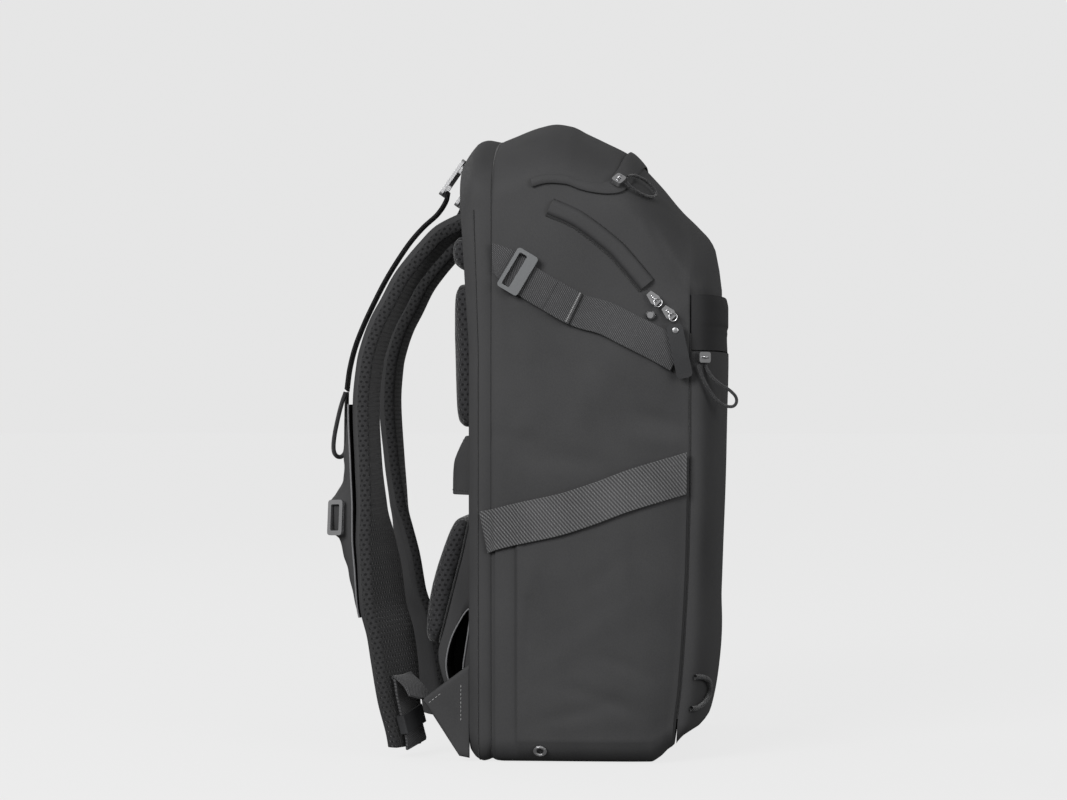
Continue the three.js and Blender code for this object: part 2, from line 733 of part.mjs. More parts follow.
function makeBackPanel() {
  const low = bandInside.foot * bodyHeight + seat;
  const high = (bandInside.top - 0.012) * bodyHeight - seat;
  const heights = rearLeanRows.map((row) => row.height * bodyHeight);
  const breaks = heights.filter((z) => z > low + footRadius && z < high);
  const dome = spread(high - shoulderDrop, high, 5);
  const rows = [low, low + footRadius / 3, low + footRadius, ...breaks, ...dome];
  const levels = [...new Set(rows)].sort((a, b) => a - b);
  const across = spread(-1, 1, 6);
  const place = (lift) => (z, share) => {
    const half = Math.min(outlineHalf(bandInside, z - seat), outlineHalf(bandInside, z + seat)) - seat;
    return new THREE.Vector3(share * half, panelY(z, lift), z);
  };
  return slab(grid(levels, across, place(0)), grid(levels, across, place(-panelThickness)));
}

// The crowned front

function frontPoint(turn, z, out, inset) {
  const row = rowAt(mainRows, 'depth', frontSeamDepth);
  const half = outlineHalf(row, z) - inset;
  const power = 2 / crownPower;
  const side = Math.abs(Math.sin(turn)) ** power * Math.sign(turn);
  const rim = depthToY(pocketRimDepth) + frontLean(z / bodyHeight) - seat;
  return new THREE.Vector3(half * side, rim - out * Math.cos(turn) ** power, z);
}

const quarterTurn = Math.PI / 2 - 0.001;
const crownTurns = spread(-1, 1, 14).map((t) => t * quarterTurn);

function makeFrontPocket() {
  const outer = grid(frontPocketRows, crownTurns, (row, turn) => (
    frontPoint(turn, row.height * bodyHeight, row.out * frontCrown, 0)
  ));
  const inner = grid(frontPocketRows, crownTurns, (row, turn) => {
    const out = Math.max(0, row.out * frontCrown - clothWall);
    return frontPoint(turn, row.height * bodyHeight, out, clothWall);
  });
  return slab(outer, inner);
}

function makeFrontBand() {
  const outer = grid(frontBandRows, crownTurns, (row, turn) => (
    frontPoint(turn, row.height * bodyHeight, row.out * frontYoke, 0)
  ));
  const inner = grid(frontBandRows, crownTurns, (row, turn) => (
    frontPoint(turn, row.height * bodyHeight, row.inside * frontYoke, clothWall)
  ));
  return slab(outer, inner);
}

// Strips on the dome and on the left wall

function domePoint(depth, angle, side, lift) {
  const row = rowAt(mainRows, 'depth', depth);
  const turn = THREE.MathUtils.degToRad(angle);
  const dome = domeOffset(turn, row.half * halfWidth + lift, shoulderDrop + lift);
  const shoulder = row.top * bodyHeight - shoulderDrop;
  return new THREE.Vector3(side * dome.x, depthToY(depth), shoulder + dome.z);
}

function makeLidFlap() {
  const degreeLength = shoulderDrop / 30;
  const mirrored = lidFlapRows.slice(0, -1).reverse();
  const route = [
    ...lidFlapRows.map((row) => [(row.angle - 90) * degreeLength, row.depth * mainDepth, 0]),
    ...mirrored.map((row) => [(90 - row.angle) * degreeLength, row.depth * mainDepth, 0]),
  ];
  const curve = new THREE.CatmullRomCurve3(route.map((point) => new THREE.Vector3(...point)));
  const place = (lift) => (t, across) => {
    const point = curve.getPoint(t);
    const way = curve.getTangent(t);
    const along = point.x - way.y * across * lidFlapWidth;
    const depth = (point.y + way.x * across * lidFlapWidth) / mainDepth;
    const side = along < 0 ? left : right;
    return domePoint(depth, 90 - Math.abs(along) / degreeLength, side, lift);
  };
  const stations = spread(0, 1, 24);
  const across = [-0.5, 0, 0.5];
  const lowest = stripSeat + seat;
  return slab(
    grid(stations, across, place(lowest + clothWall)),
    grid(stations, across, place(lowest)),
  );
}

function wallRoute(rows) {
  const points = rows.map((row) => (
    new THREE.Vector3(0, depthToY(row.depth), row.height * bodyHeight)
  ));
  return new THREE.CatmullRomCurve3(points);
}

// A strip of one width along a route on the left wall
function wallStrip(curve, from, to, steps, width, low, high) {
  const place = (lift) => (t, across) => {
    const point = curve.getPoint(t);
    const way = curve.getTangent(t);
    const y = point.y - way.z * across * width;
    const z = point.z + way.y * across * width;
    return leftWall(y, z, lift);
  };
  const stations = spread(from, to, steps);
  const across = [-0.5, -0.17, 0.17, 0.5];
  return slab(grid(stations, across, place(high)), grid(stations, across, place(low)));
}

const upperStrapCurve = wallRoute(upperStrapRows);
const strapTop = stripSeat + webbingThickness;

function strapShare(depth) {
  const first = upperStrapRows[0].depth;
  const last = upperStrapRows[upperStrapRows.length - 1].depth;
  return (depth - first) / (last - first);
}

function makeUpperStrap(from, to, steps) {
  const width = upperStrapWidth;
  return wallStrip(upperStrapCurve, from, to, steps, width, stripSeat, strapTop);
}

function makeStrapFold() {
  const low = strapTop + seat;
  const from = strapShare(strapFoldFrom);
  const to = strapShare(strapFoldTo);
  const high = low + webbingThickness * 0.8;
  return wallStrip(upperStrapCurve, from, to, 3, upperStrapWidth, low, high);
}

function makeZipFlap() {
  const high = stripSeat + zipFlapThickness;
  return wallStrip(wallRoute(zipFlapRows), 0, 1, 14, zipFlapWidth, stripSeat, high);
}

// The side pocket and its band

function bandMiddle(y) {
  return rowAt(sideBandRows, 'depth', (rearSeam - y) / mainDepth).height * bodyHeight;
}

const bandHalf = (sideBandWidth / 2) / Math.cos(THREE.MathUtils.degToRad(16.5));
const pocketHemDrop = 3;

function mainY(depth, z) {
  return depthToY(depth) + frontLean(z / bodyHeight) * leanGrip(depth);
}

function leftWallAt(depth, z, lift) {
  const half = outlineHalf(rowAt(mainRows, 'depth', depth), z);
  return new THREE.Vector3(-(half + lift), mainY(depth, z), z);
}

function pocketHeight(depth, row) {
  const low = rowAt(mainRows, 'depth', depth).foot * bodyHeight + row.foot * footRadius;
  let z = low;
  for (let pass = 0; pass < 5; pass += 1) {
    z = low + (bandMiddle(mainY(depth, z)) + bandHalf - pocketHemDrop - low) * row.up;
  }
  return z;
}

function pocketBulge(depth, row) {
  const wide = rowAt(pocketColumns, 'depth', depth).bulge;
  let fold = 0;
  for (const crease of pocketFoldRows) {
    const distance = (depth - crease.depth - (row.up - crease.up) * crease.slope) / crease.width;
    fold += crease.rise * Math.exp(-distance * distance);
  }
  return wide * row.bulge * (pocketDepth + fold * pocketFold);
}

function pocketPoint(depth, row, lift) {
  return leftWallAt(depth, pocketHeight(depth, row), seat + pocketBulge(depth, row) + lift);
}

function makeSidePocket() {
  const depths = pocketColumns.map((column) => column.depth);
  return slab(
    grid(depths, pocketRows, (depth, row) => pocketPoint(depth, row, clothWall)),
    grid(depths, pocketRows, (depth, row) => pocketPoint(depth, row, 0)),
  );
}

function makeSideBand() {
  const rear = depthToY(sideBandRows[0].depth);
  const rearColumns = [rear, rearSeam + 1.5, rearSeam - 1.5];
  const hem = pocketRows[pocketRows.length - 1];
  const place = (lift) => (column, across) => {
    if (column.y !== undefined) {
      const z = bandMiddle(column.y) + (2 * across - 1) * bandHalf;
      const step = column.y > rearSeam ? 0 : clothWall + seat;
      return leftWall(column.y, z, stripSeat + step + lift);
    }
    const top = pocketHeight(column.depth, hem);
    const middle = bandMiddle(mainY(column.depth, top));
    const z = middle + (2 * across - 1) * bandHalf;
    const up = clamp((z - footRadius) / (top - footRadius), 0, 1);
    const rise = seat + pocketBulge(column.depth, { up, bulge: 1 }) + clothWall;
    return leftWallAt(column.depth, z, rise + stripSeat + lift);
  };
  const columns = [
    ...rearColumns.map((y) => ({ y })),
    ...pocketColumns.map((column) => ({ depth: column.depth })),
  ];
  const across = spread(0, 1, 4);
  return slab(
    grid(columns, across, place(webbingThickness)),
    grid(columns, across, place(0)),
  );
}

function makeEyelet() {
  const tilt = THREE.MathUtils.degToRad(34);
  const profile = [
    [eyeletBore, 0], [eyeletRadius, 0], [eyeletRadius, 0.8], [eyeletRadius - 0.9, 1.6],
    [eyeletBore + 0.8, 1.6], [eyeletBore, 0.9], [eyeletBore, 0],
  ].map(([x, y]) => new THREE.Vector2(x, y));
  const depth = 0.209;
  const row = { foot: 0.62, up: 0, bulge: 0.40 };
  const outward = new THREE.Vector3(-Math.cos(tilt), 0, -Math.sin(tilt));
  const origin = pocketPoint(depth, row, clothWall).addScaledVector(outward, stripSeat);
  const side = new THREE.Vector3(0, 1, 0);
  const third = new THREE.Vector3().crossVectors(side, outward);
  return turnTo(new THREE.LatheGeometry(profile, 12), side, outward, third, origin);
}

// Small hardware on the left wall

const outwardLeft = new THREE.Vector3(-1, 0, 0);

// Lays a plate on the left wall with its length at an angle, in degrees down from level
function layOnWall(geometry, depth, height, slope, lift) {
  const turn = THREE.MathUtils.degToRad(slope);
  const along = new THREE.Vector3(0, -Math.cos(turn), -Math.sin(turn));
  const across = new THREE.Vector3().crossVectors(along, outwardLeft);
  const origin = leftWall(depthToY(depth), height * bodyHeight, lift);
  return turnTo(geometry, across, along, outwardLeft, origin);
}

function slotFrame(width, length, thickness, slots) {
  const shape = roundedRectangle(new THREE.Shape(), width, length, 2.4);
  for (const slot of slots) {
    const hole = roundedRectangle(new THREE.Path(), slot.width, slot.length, 1);
    hole.curves.forEach((curve) => {
      for (const key of ['v1', 'v2']) if (curve[key]) curve[key].y += slot.at;
      if (curve.aY !== undefined) curve.aY += slot.at;
    });
    shape.holes.push(hole);
  }
  return plate(shape, thickness, 2);
}

function makeUpperBuckle() {
  const at = buckleRearBar + (buckleSlot - buckleWidth) / 2;
  const slot = { width: buckleLength - 6, length: buckleSlot, at };
  const frame = slotFrame(buckleLength, buckleWidth, buckleThickness, [slot]);
  const lift = strapTop + seat + buckleThickness / 2;
  return layOnWall(frame, 0.116, 0.7500, 31, lift + 0.6);
}

function makeSlider(depth, height, slope) {
  const shape = new THREE.Shape();
  shape.moveTo(-sliderWidth * 0.28, -sliderLength / 2);
  shape.lineTo(sliderWidth * 0.28, -sliderLength / 2);
  shape.lineTo(sliderWidth / 2, sliderLength * 0.15);
  shape.lineTo(sliderWidth * 0.38, sliderLength / 2);
  shape.lineTo(-sliderWidth * 0.38, sliderLength / 2);
  shape.lineTo(-sliderWidth / 2, sliderLength * 0.15);
  shape.closePath();
  const lift = stripSeat + sliderThickness / 2;
  return layOnWall(plate(shape, sliderThickness), depth, height, slope, lift);
}

function makePullTab() {
  const shape = roundedRectangle(new THREE.Shape(), tabWidth, tabLength, tabWidth * 0.3);
  const lift = strapTop + stripSeat + tabThickness / 2 + 1;
  return layOnWall(plate(shape, tabThickness), 0.795, 0.6293, 78, lift);
}

function makeRivetPull() {
  const profile = [[0, 0], [3.6, 0], [3.6, 1.4], [2.4, 2.6], [0, 2.6]];
  const points = profile.map(([x, y]) => new THREE.Vector2(x, y));
  const origin = leftWall(depthToY(0.672), 0.6840 * bodyHeight, stripSeat);
  const side = new THREE.Vector3(0, 1, 0);
  const third = new THREE.Vector3().crossVectors(side, outwardLeft);
  return turnTo(new THREE.LatheGeometry(points, 14), side, outwardLeft, third, origin);
}

// Zip sliders on the crown and on the dome lie along the wall with their faces outward
function makeSliderAt(origin, outward, along) {
  const shape = roundedRectangle(new THREE.Shape(), sliderWidth, sliderLength, 1.8);
  const across = new THREE.Vector3().crossVectors(along, outward).normalize();
  const face = new THREE.Vector3().crossVectors(across, along).normalize();
  return turnTo(plate(shape, sliderThickness, 2), across, along, face, origin);
}

function makeFrontSlider() {
  const z = 0.6200 * bodyHeight;
  const turn = -THREE.MathUtils.degToRad(79);
  const here = frontPoint(turn, z, frontCrown, 0);
  const there = frontPoint(turn + 0.1, z, frontCrown, 0);
  const along = there.sub(here).normalize();
  const outward = new THREE.Vector3(along.y, -along.x, 0);
  const origin = here.addScaledVector(outward, seat + sliderThickness / 2);
  return makeSliderAt(origin, outward, along);
}

function makeLidSlider() {
  const here = domePoint(0.528, 20, left, 0);
  const there = domePoint(0.552, 27, left, 0);
  const along = there.clone().sub(here).normalize();
  const inward = domePoint(0.528, 20, left, -1).sub(here).normalize();
  const outward = inward.negate();
  outward.addScaledVector(along, -outward.dot(along)).normalize();
  const lift = stripSeat + 2 * seat + clothWall + sliderThickness / 2;
  return makeSliderAt(here.addScaledVector(outward, lift), outward, along);
}

function makeLashLoop(side) {
  const lift = lashLoopDiameter / 2 + stripSeat;
  const places = [
    [77, 0.1330], [70, 0.1330], [60, 0.1290], [52, 0.1210], [49, 0.1090],
    [52, 0.0970], [60, 0.0890], [70, 0.0850], [77, 0.0850],
  ];
  const route = places.map(([turn, height]) => {
    const z = height * bodyHeight;
    const out = rowAt(frontPocketRows, 'height', height).out * frontCrown;
    const angle = side * THREE.MathUtils.degToRad(turn);
    return frontPoint(angle, z, out + lift, -lift).toArray();
  });
  return tubeAlong(route, lashLoopDiameter, 8, 0.6);
}

// The shoulder straps and what lies on them

function strapFrame(height, side) {
  const row = rowAt(strapRows, 'height', height);
  const place = (r) => new THREE.Vector3(
    side * r.edge * halfWidth, backFace + r.reach * strapReach, r.height * bodyHeight,
  );
  const lowest = strapRows[strapRows.length - 1].height;
  const step = 0.004;
  const above = place(rowAt(strapRows, 'height', Math.max(height, lowest) + step));
  const below = place(rowAt(strapRows, 'height', Math.min(height, strapRows[0].height) - step));
  const turn = THREE.MathUtils.degToRad(row.turn);
  const across = new THREE.Vector3(-side * Math.cos(turn), -Math.sin(turn), 0);
  const way = below.sub(above).normalize();
  const out = new THREE.Vector3().crossVectors(across, way).normalize();
  if (out.y < 0) out.negate();
  const width = row.width * halfWidth;
  const thick = row.thick * strapThickness;
  return { edge: place(row), across, out, way, width, thick };
}

function onStrap(frame, across, out) {
  return frame.edge.clone()
    .addScaledVector(frame.across, across)
    .addScaledVector(frame.out, out);
}

const strapSection = [
  { across: 0.00, out: -0.50, crown: 0 }, { across: 0.04, out: 0.00, crown: 0 },
  { across: 0.27, out: 0.00, crown: 0.8 }, { across: 0.50, out: 0.00, crown: 1 },
  { across: 0.73, out: 0.00, crown: 0.8 }, { across: 0.96, out: 0.00, crown: 0 },
  { across: 1.00, out: -0.50, crown: 0 }, { across: 0.96, out: -1.00, crown: 0 },
  { across: 0.66, out: -1.00, crown: -0.4 }, { across: 0.34, out: -1.00, crown: -0.4 },
  { across: 0.04, out: -1.00, crown: 0 },
];

function makeShoulderStrap(side) {
  const rings = strapRows.map((row) => {
    const frame = strapFrame(row.height, side);
    return strapSection.map((corner) => {
      const out = corner.out * frame.thick + corner.crown * strapCrown;
      return onStrap(frame, corner.across * frame.width, out);
    });
  });
  return skin(rings);
}

function makeStrapPocket() {
  const rings = strapPocketRows.map((row) => {
    const frame = strapFrame(row.height, left);
    const low = strapCrown + stripSeat + seat;
    const high = Math.max(low + clothWall, row.rise * strapThickness);
    const from = strapPocketMargin;
    const to = frame.width - strapPocketMargin;
    const inner = (to - from) * 0.16;
    return [
      onStrap(frame, from, low), onStrap(frame, from, (low + high) / 2),
      onStrap(frame, from + inner, high), onStrap(frame, (from + to) / 2, high + 1),
      onStrap(frame, to - inner, high), onStrap(frame, to, (low + high) / 2),
      onStrap(frame, to, low), onStrap(frame, (from + to) / 2, low),
    ];
  });
  return skin(rings);
}

function makeStrapClip() {
  const frame = strapFrame(0.3720, left);
  const length = 27;
  const width = 14;
  const shape = slotFrame(width, length, 2.4, [{ width: width - 6, length: length - 7, at: 0 }]);
  const outward = frame.across.clone().multiplyScalar(-1).addScaledVector(frame.out, 0.45);
  outward.normalize();
  const along = frame.way.clone().negate();
  const across = new THREE.Vector3().crossVectors(along, outward).normalize();
  const face = new THREE.Vector3().crossVectors(across, along).normalize();
  const origin = onStrap(frame, strapPocketMargin - 1.6, strapThickness * 1.4);
  return turnTo(shape, across, along, face, origin);
}

// A flat ribbon through stations that each give a middle and an across direction
function ribbon(stations, width, thickness) {
  const middles = stations.map((station) => station.middle);
  const rings = stations.map(({ middle, across }, i) => {
    const next = middles[Math.min(i + 1, middles.length - 1)];
    const last = middles[Math.max(i - 1, 0)];
    const way = next.clone().sub(last).normalize();
    const level = across.clone().addScaledVector(way, -across.dot(way)).normalize();
    const face = new THREE.Vector3().crossVectors(way, level);
    return [[-1, -1], [1, -1], [1, 1], [-1, 1]].map(([u, v]) => (
      middle.clone().addScaledVector(level, (u * width) / 2).addScaledVector(face, (v * thickness) / 2)
    ));
  });
  return skin(rings);
}

const acrossLevel = new THREE.Vector3(1, 0, 0);

function carryPoint(side, row) {
  return new THREE.Vector3(
    side * row.spread * halfWidth, backFace + row.reach * strapReach, row.height * bodyHeight,
  );
}

function makeLifterWebbing(side) {
  const stations = lifterRows.map((row) => ({ middle: carryPoint(side, row), across: acrossLevel }));
  return ribbon(stations, lifterWidth, lifterThickness);
}

function makeLifterAnchor(side) {
  const stations = lifterAnchorRows.map((row) => ({
    middle: carryPoint(side, { ...row, spread: lifterBuckleAt.spread }), across: acrossLevel,
  }));
  return ribbon(stations, lifterWidth, lifterThickness);
}

function makeLifterBuckle(side) {
  const slot = { width: lifterWidth + 1, length: 7 };
  const frame = slotFrame(lifterWidth + 6, buckleLength, 2.6, [
    { ...slot, at: 9 }, { ...slot, at: -9 },
  ]);
  const turn = THREE.MathUtils.degToRad(lifterBuckleSlope);
  const along = new THREE.Vector3(0, Math.cos(turn), -Math.sin(turn));
  const face = new THREE.Vector3().crossVectors(acrossLevel, along);
  return turnTo(frame, acrossLevel.clone(), along, face, carryPoint(side, lifterBuckleAt));
}

// A route mirrored to the right side
function mirrorRoute(route, side) {
  return route.map(([x, y, z]) => [side === left ? x : -x, y, z]);
}

function makeLifterLoop(side) {
  return tubeAlong(mirrorRoute(lifterLoopRoute, side), lifterLoopDiameter, 8, cordSteps);
}

// The pads of the back

function padOutline(pad, inset) {
  const x0 = (pad.inner + inset) * halfWidth;
  const x1 = (pad.outer - inset) * halfWidth;
  const z0 = pad.low * bodyHeight + inset * halfWidth;
  const z1 = pad.high * bodyHeight - inset * halfWidth;
  const radius = Math.min(padCorner * halfWidth, (z1 - z0) * 0.4, (x1 - x0) * 0.4);
  const corners = [
    { x: x1 - radius, z: z0 + radius, turn: -90 }, { x: x1 - radius, z: z1 - radius, turn: 0 },
    { x: x0 + radius, z: z1 - radius, turn: 90 }, { x: x0 + radius, z: z0 + radius, turn: 180 },
  ];
  const points = [];
  for (const corner of corners) {
    for (const turn of spread(corner.turn, corner.turn + 90, padCornerSteps)) {
      const angle = THREE.MathUtils.degToRad(turn);
      points.push({
        x: corner.x + radius * Math.cos(angle), z: corner.z + radius * Math.sin(angle),
      });
    }
  }
  const withMiddles = [];
  points.forEach((point, i) => {
    const next = points[(i + 1) % points.length];
    withMiddles.push(point);
    if (i % (padCornerSteps + 1) === padCornerSteps) {
      withMiddles.push({ x: (point.x + next.x) / 2, z: (point.z + next.z) / 2 });
    }
  });
  return withMiddles;
}

function makePad(pad, side, base, thickness) {
  const rings = padLevels.map((level) => padOutline(pad, level.inset).map(({ x, z }) => (
    new THREE.Vector3(side * x, base(z) + level.out * thickness(z), z)
  )));
  return skin(rings);
}

function panelBase(z) {
  return panelY(z, seat);
}

function flatThickness() {
  return padThickness;
}

function makeBackSleeve() {
  const mirrored = sleeveColumns.slice(0, -1).reverse();
  const columns = [...sleeveColumns, ...mirrored.map((row) => ({ ...row, spread: -row.spread }))];
  const place = (lift) => (row, column) => {
    const z = row.height * bodyHeight;
    const rise = row.out * column.out * padThickness;
    return new THREE.Vector3(column.spread * halfWidth, panelY(z, seat + rise + lift), z);
  };
  return slab(grid(sleeveRows, columns, place(clothWall)), grid(sleeveRows, columns, place(0)));
}

// The lumbar wedge and its pads

function profileRing(profile, x) {
  return profile.map((row) => (
    new THREE.Vector3(x, panelFace + seat + row.reach * wedgeReach, row.height * bodyHeight)
  ));
}

function makeWedge() {
  const half = wedgeSpan / 2;
  const deep = -half + wedgePocketDepth;
  return skin([
    profileRing(wedgeProfile, half), profileRing(wedgeProfile, -half),
    profileRing(slitProfile, -half), profileRing(slitProfile, deep),
  ]);
}

const wedgeSlope = wedgeProfile.slice(4, 11);

function wedgeBase(z) {
  const row = rowAt(wedgeSlope, 'height', z / bodyHeight);
  return panelFace + seat + row.reach * wedgeReach + seat;
}

function lumbarThickness(z) {
  const share = (z / bodyHeight - lumbarPad.low) / (lumbarPad.high - lumbarPad.low);
  return padThickness * (0.62 + 0.55 * Math.sin(Math.PI * clamp(0.12 + share * 0.75, 0, 1)));
}

// The lower strap anchors

function makeWing(side) {
  const shape = new THREE.Shape(wingProfile.map((row) => (
    new THREE.Vector2(row.reach * wingReach, row.height * bodyHeight)
  )));
  const origin = new THREE.Vector3(side * wingSpread * halfWidth, backFace + seat, 0);
  const backwards = new THREE.Vector3(0, 1, 0);
  const up = new THREE.Vector3(0, 0, 1);
  return turnTo(plate(shape, wingThickness), backwards, up, acrossLevel.clone(), origin);
}

function webbingStation(height, side) {
  const frame = strapFrame(height, side);
  const middle = onStrap(frame, webbingAcross, -frame.thick - webbingLift);
  return { middle, across: frame.across, frame };
}

function makeLowerWebbing(side) {
  const first = webbingStation(webbingHeights[0], side);
  const start = webbingStart.map((row) => ({ middle: carryPoint(side, row), across: first.across }));
  const along = webbingHeights.map((height) => webbingStation(height, side));
  return ribbon([...start, ...along], lowerWebbingWidth, lowerWebbingThickness);
}

function makeKeeper(side) {
  const { middle, frame } = webbingStation(keeperHeight, side);
  const clearance = 2 * stripSeat;
  const innerWidth = lowerWebbingWidth + clearance;
  const innerThick = lowerWebbingThickness + clearance;
  const shape = roundedRectangle(
    new THREE.Shape(), innerWidth + 2 * keeperWall, innerThick + 2 * keeperWall, 1.4,
  );
  shape.holes.push(roundedRectangle(new THREE.Path(), innerWidth, innerThick, 0.6));
  const along = frame.way.clone();
  const across = frame.across.clone().addScaledVector(along, -frame.across.dot(along)).normalize();
  const face = new THREE.Vector3().crossVectors(along, across);
  return turnTo(plate(shape, keeperLength, 2), across, face, along, middle);
}

// Finishes
const finishes = {
  shell: { color: 0x4a4b4d, roughness: 0.78, metalness: 0 },
  panel: { color: 0x3f4042, roughness: 0.85, metalness: 0 },
  mesh: { color: 0x1d1e20, roughness: 0.95, metalness: 0 },
  webbing: { color: 0x3b3c3e, roughness: 0.8, metalness: 0 },
  gunmetal: { color: 0x5a5c5f, roughness: 0.35, metalness: 0.9 },
  silver: { color: 0x9da0a3, roughness: 0.3, metalness: 0.95 },
  cord: { color: 0x141415, roughness: 0.8, metalness: 0 },
  leather: { color: 0x2f3032, roughness: 0.6, metalness: 0 },
};

const pack = new THREE.Group();

function add(name, geometry, finish) {
  const mesh = new THREE.Mesh(geometry, new THREE.MeshStandardMaterial(finishes[finish]));
  mesh.name = name;
  pack.add(mesh);
}

add('main_shell', makeMainShell(), 'shell');
add('rear_band', makeRearBand(), 'shell');
add('back_panel', makeBackPanel(), 'panel');
add('front_pocket', makeFrontPocket(), 'shell');
add('front_band', makeFrontBand(), 'panel');
add('lid_flap', makeLidFlap(), 'shell');
add('side_zip_flap', makeZipFlap(), 'shell');
add('side_pocket', makeSidePocket(), 'shell');
add('side_band', makeSideBand(), 'webbing');
add('upper_strap_rear', makeUpperStrap(0, strapShare(upperStrapSplit) - 0.006, 5), 'webbing');
add('upper_strap', makeUpperStrap(strapShare(upperStrapSplit), 1, 16), 'webbing');
add('upper_strap_fold', makeStrapFold(), 'webbing');
add('upper_strap_buckle', makeUpperBuckle(), 'gunmetal');
add('side_slider_upper', makeSlider(0.686, 0.7097, sliderSlope), 'silver');
add('side_slider_lower', makeSlider(0.749, 0.6877, sliderSlope), 'silver');
add('pull_tab', makePullTab(), 'leather');
add('rivet_pull', makeRivetPull(), 'silver');
add('eyelet', makeEyelet(), 'silver');
add('front_slider', makeFrontSlider(), 'silver');
add('lid_slider', makeLidSlider(), 'silver');
add('front_pull_cord', tubeAlong(frontPullRoute, pullCordDiameter, 8, cordSteps), 'cord');
add('lid_pull_cord', tubeAlong(lidPullRoute, pullCordDiameter, 8, cordSteps), 'cord');
add('strap_pocket', makeStrapPocket(), 'shell');
add('strap_clip', makeStrapClip(), 'silver');
add('back_sleeve', makeBackSleeve(), 'shell');
add('lumbar_wedge', makeWedge(), 'shell');

for (const [side, word] of [[left, 'left'], [right, 'right']]) {
  add(`shoulder_strap_${word}`, makeShoulderStrap(side), 'shell');
  add(`lifter_anchor_${word}`, makeLifterAnchor(side), 'webbing');
  add(`lifter_buckle_${word}`, makeLifterBuckle(side), 'silver');
  add(`lifter_webbing_${word}`, makeLifterWebbing(side), 'webbing');
  add(`lifter_loop_${word}`, makeLifterLoop(side), 'cord');
  add(`upper_pad_${word}`, makePad(upperPad, side, panelBase, flatThickness), 'mesh');
  add(`mid_pad_${word}`, makePad(midPad, side, panelBase, flatThickness), 'mesh');
  add(`lumbar_pad_${word}`, makePad(lumbarPad, side, wedgeBase, lumbarThickness), 'mesh');
  add(`strap_wing_${word}`, makeWing(side), 'shell');
  add(`lower_webbing_${word}`, makeLowerWebbing(side), 'webbing');
  add(`webbing_keeper_${word}`, makeKeeper(side), 'gunmetal');
  add(`lash_loop_${word}`, makeLashLoop(side), 'cord');
}

export default pack;
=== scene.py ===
# %% [markdown]
# # A camera backpack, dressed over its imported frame
# The frame holds every piece as a plain solid in its place. This lesson makes the looks: the
# cloth body with its folds, webbing, mesh pads, metal sliders and cords. All sizes are written in
# millimetres, as a bag maker writes them, and become metres when a mesh is built.

# %% Load the frame
import bpy
import bmesh
import json
import math
import numpy as np
from mathutils import Matrix, Vector

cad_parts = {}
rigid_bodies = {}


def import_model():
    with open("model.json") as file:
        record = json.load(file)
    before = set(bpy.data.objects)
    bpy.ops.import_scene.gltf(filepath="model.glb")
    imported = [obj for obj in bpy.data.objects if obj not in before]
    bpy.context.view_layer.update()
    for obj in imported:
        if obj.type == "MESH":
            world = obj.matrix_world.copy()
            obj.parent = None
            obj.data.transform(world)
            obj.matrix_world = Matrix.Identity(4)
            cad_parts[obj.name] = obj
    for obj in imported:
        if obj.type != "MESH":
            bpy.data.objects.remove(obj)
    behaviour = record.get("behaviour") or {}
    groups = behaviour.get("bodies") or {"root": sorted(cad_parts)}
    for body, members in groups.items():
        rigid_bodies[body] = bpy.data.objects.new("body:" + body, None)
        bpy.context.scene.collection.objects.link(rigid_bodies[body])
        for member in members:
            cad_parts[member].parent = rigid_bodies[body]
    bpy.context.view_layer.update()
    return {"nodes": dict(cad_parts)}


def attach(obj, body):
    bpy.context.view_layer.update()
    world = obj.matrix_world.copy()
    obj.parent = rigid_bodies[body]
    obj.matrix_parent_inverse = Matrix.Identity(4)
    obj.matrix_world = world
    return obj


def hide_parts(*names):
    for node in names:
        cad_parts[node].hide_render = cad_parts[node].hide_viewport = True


for unused in list(bpy.data.objects):
    bpy.data.objects.remove(unused)
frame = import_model()
MM = 0.001
SIDES = ((-1, "left"), (1, "right"))

# %% [markdown]
# ## Camera
# The photograph looks level at the bag's left side, turned a few degrees to its front. A long
# lens from 2.2 m keeps the sides nearly parallel, as in a shop picture. A camera nearer with a
# wider lens would show the same width but bend the straps.

# %% Camera
VIEW_TURN = math.radians(4)
VIEW_DISTANCE = 2.2
view_target = Vector((0, 0.031087, 0.272225))
view_line = Vector((math.cos(VIEW_TURN), math.sin(VIEW_TURN), 0))
camera_data = bpy.data.cameras.new("photo_camera")
camera_data.sensor_width = 36
camera_data.lens = 36 * 2750 / 1067
camera_data.clip_end = 100
camera = bpy.data.objects.new("photo_camera", camera_data)
bpy.context.scene.collection.objects.link(camera)
camera.location = view_target - view_line * VIEW_DISTANCE
camera.rotation_euler = view_line.to_track_quat("-Z", "Y").to_euler()
bpy.context.scene.camera = camera
print("camera at", [round(v, 3) for v in camera.location])

# %% [markdown]
# ## Floor and studio light
# The floor and the sky look pale to the camera but give little light of their own, so the dark bag
# stands in the even grey of a shop picture. A large soft light on the camera's side shapes the
# folds, a weaker one fills the front, and a third from the far side lifts the straps' edges.

# %% Floor and lights
bpy.context.scene.view_settings.view_transform = "Standard"
world = bpy.data.worlds.new("pale_studio")
world.use_nodes = True
sky = world.node_tree.nodes["Background"]
sky.inputs["Color"].default_value = (1, 1, 1, 1)
bpy.context.scene.world = world


def seen_strength(tree, target, seen, light):
    """A brightness with one value for the camera's own view and another for its light."""
    path = tree.nodes.new("ShaderNodeLightPath")
    blend = tree.nodes.new("ShaderNodeMapRange")
    blend.inputs["To Min"].default_value = light
    blend.inputs["To Max"].default_value = seen
    tree.links.new(path.outputs["Is Camera Ray"], blend.inputs["Value"])
    tree.links.new(blend.outputs["Result"], target)


seen_strength(world.node_tree, sky.inputs["Strength"], 0.79, 0.36)

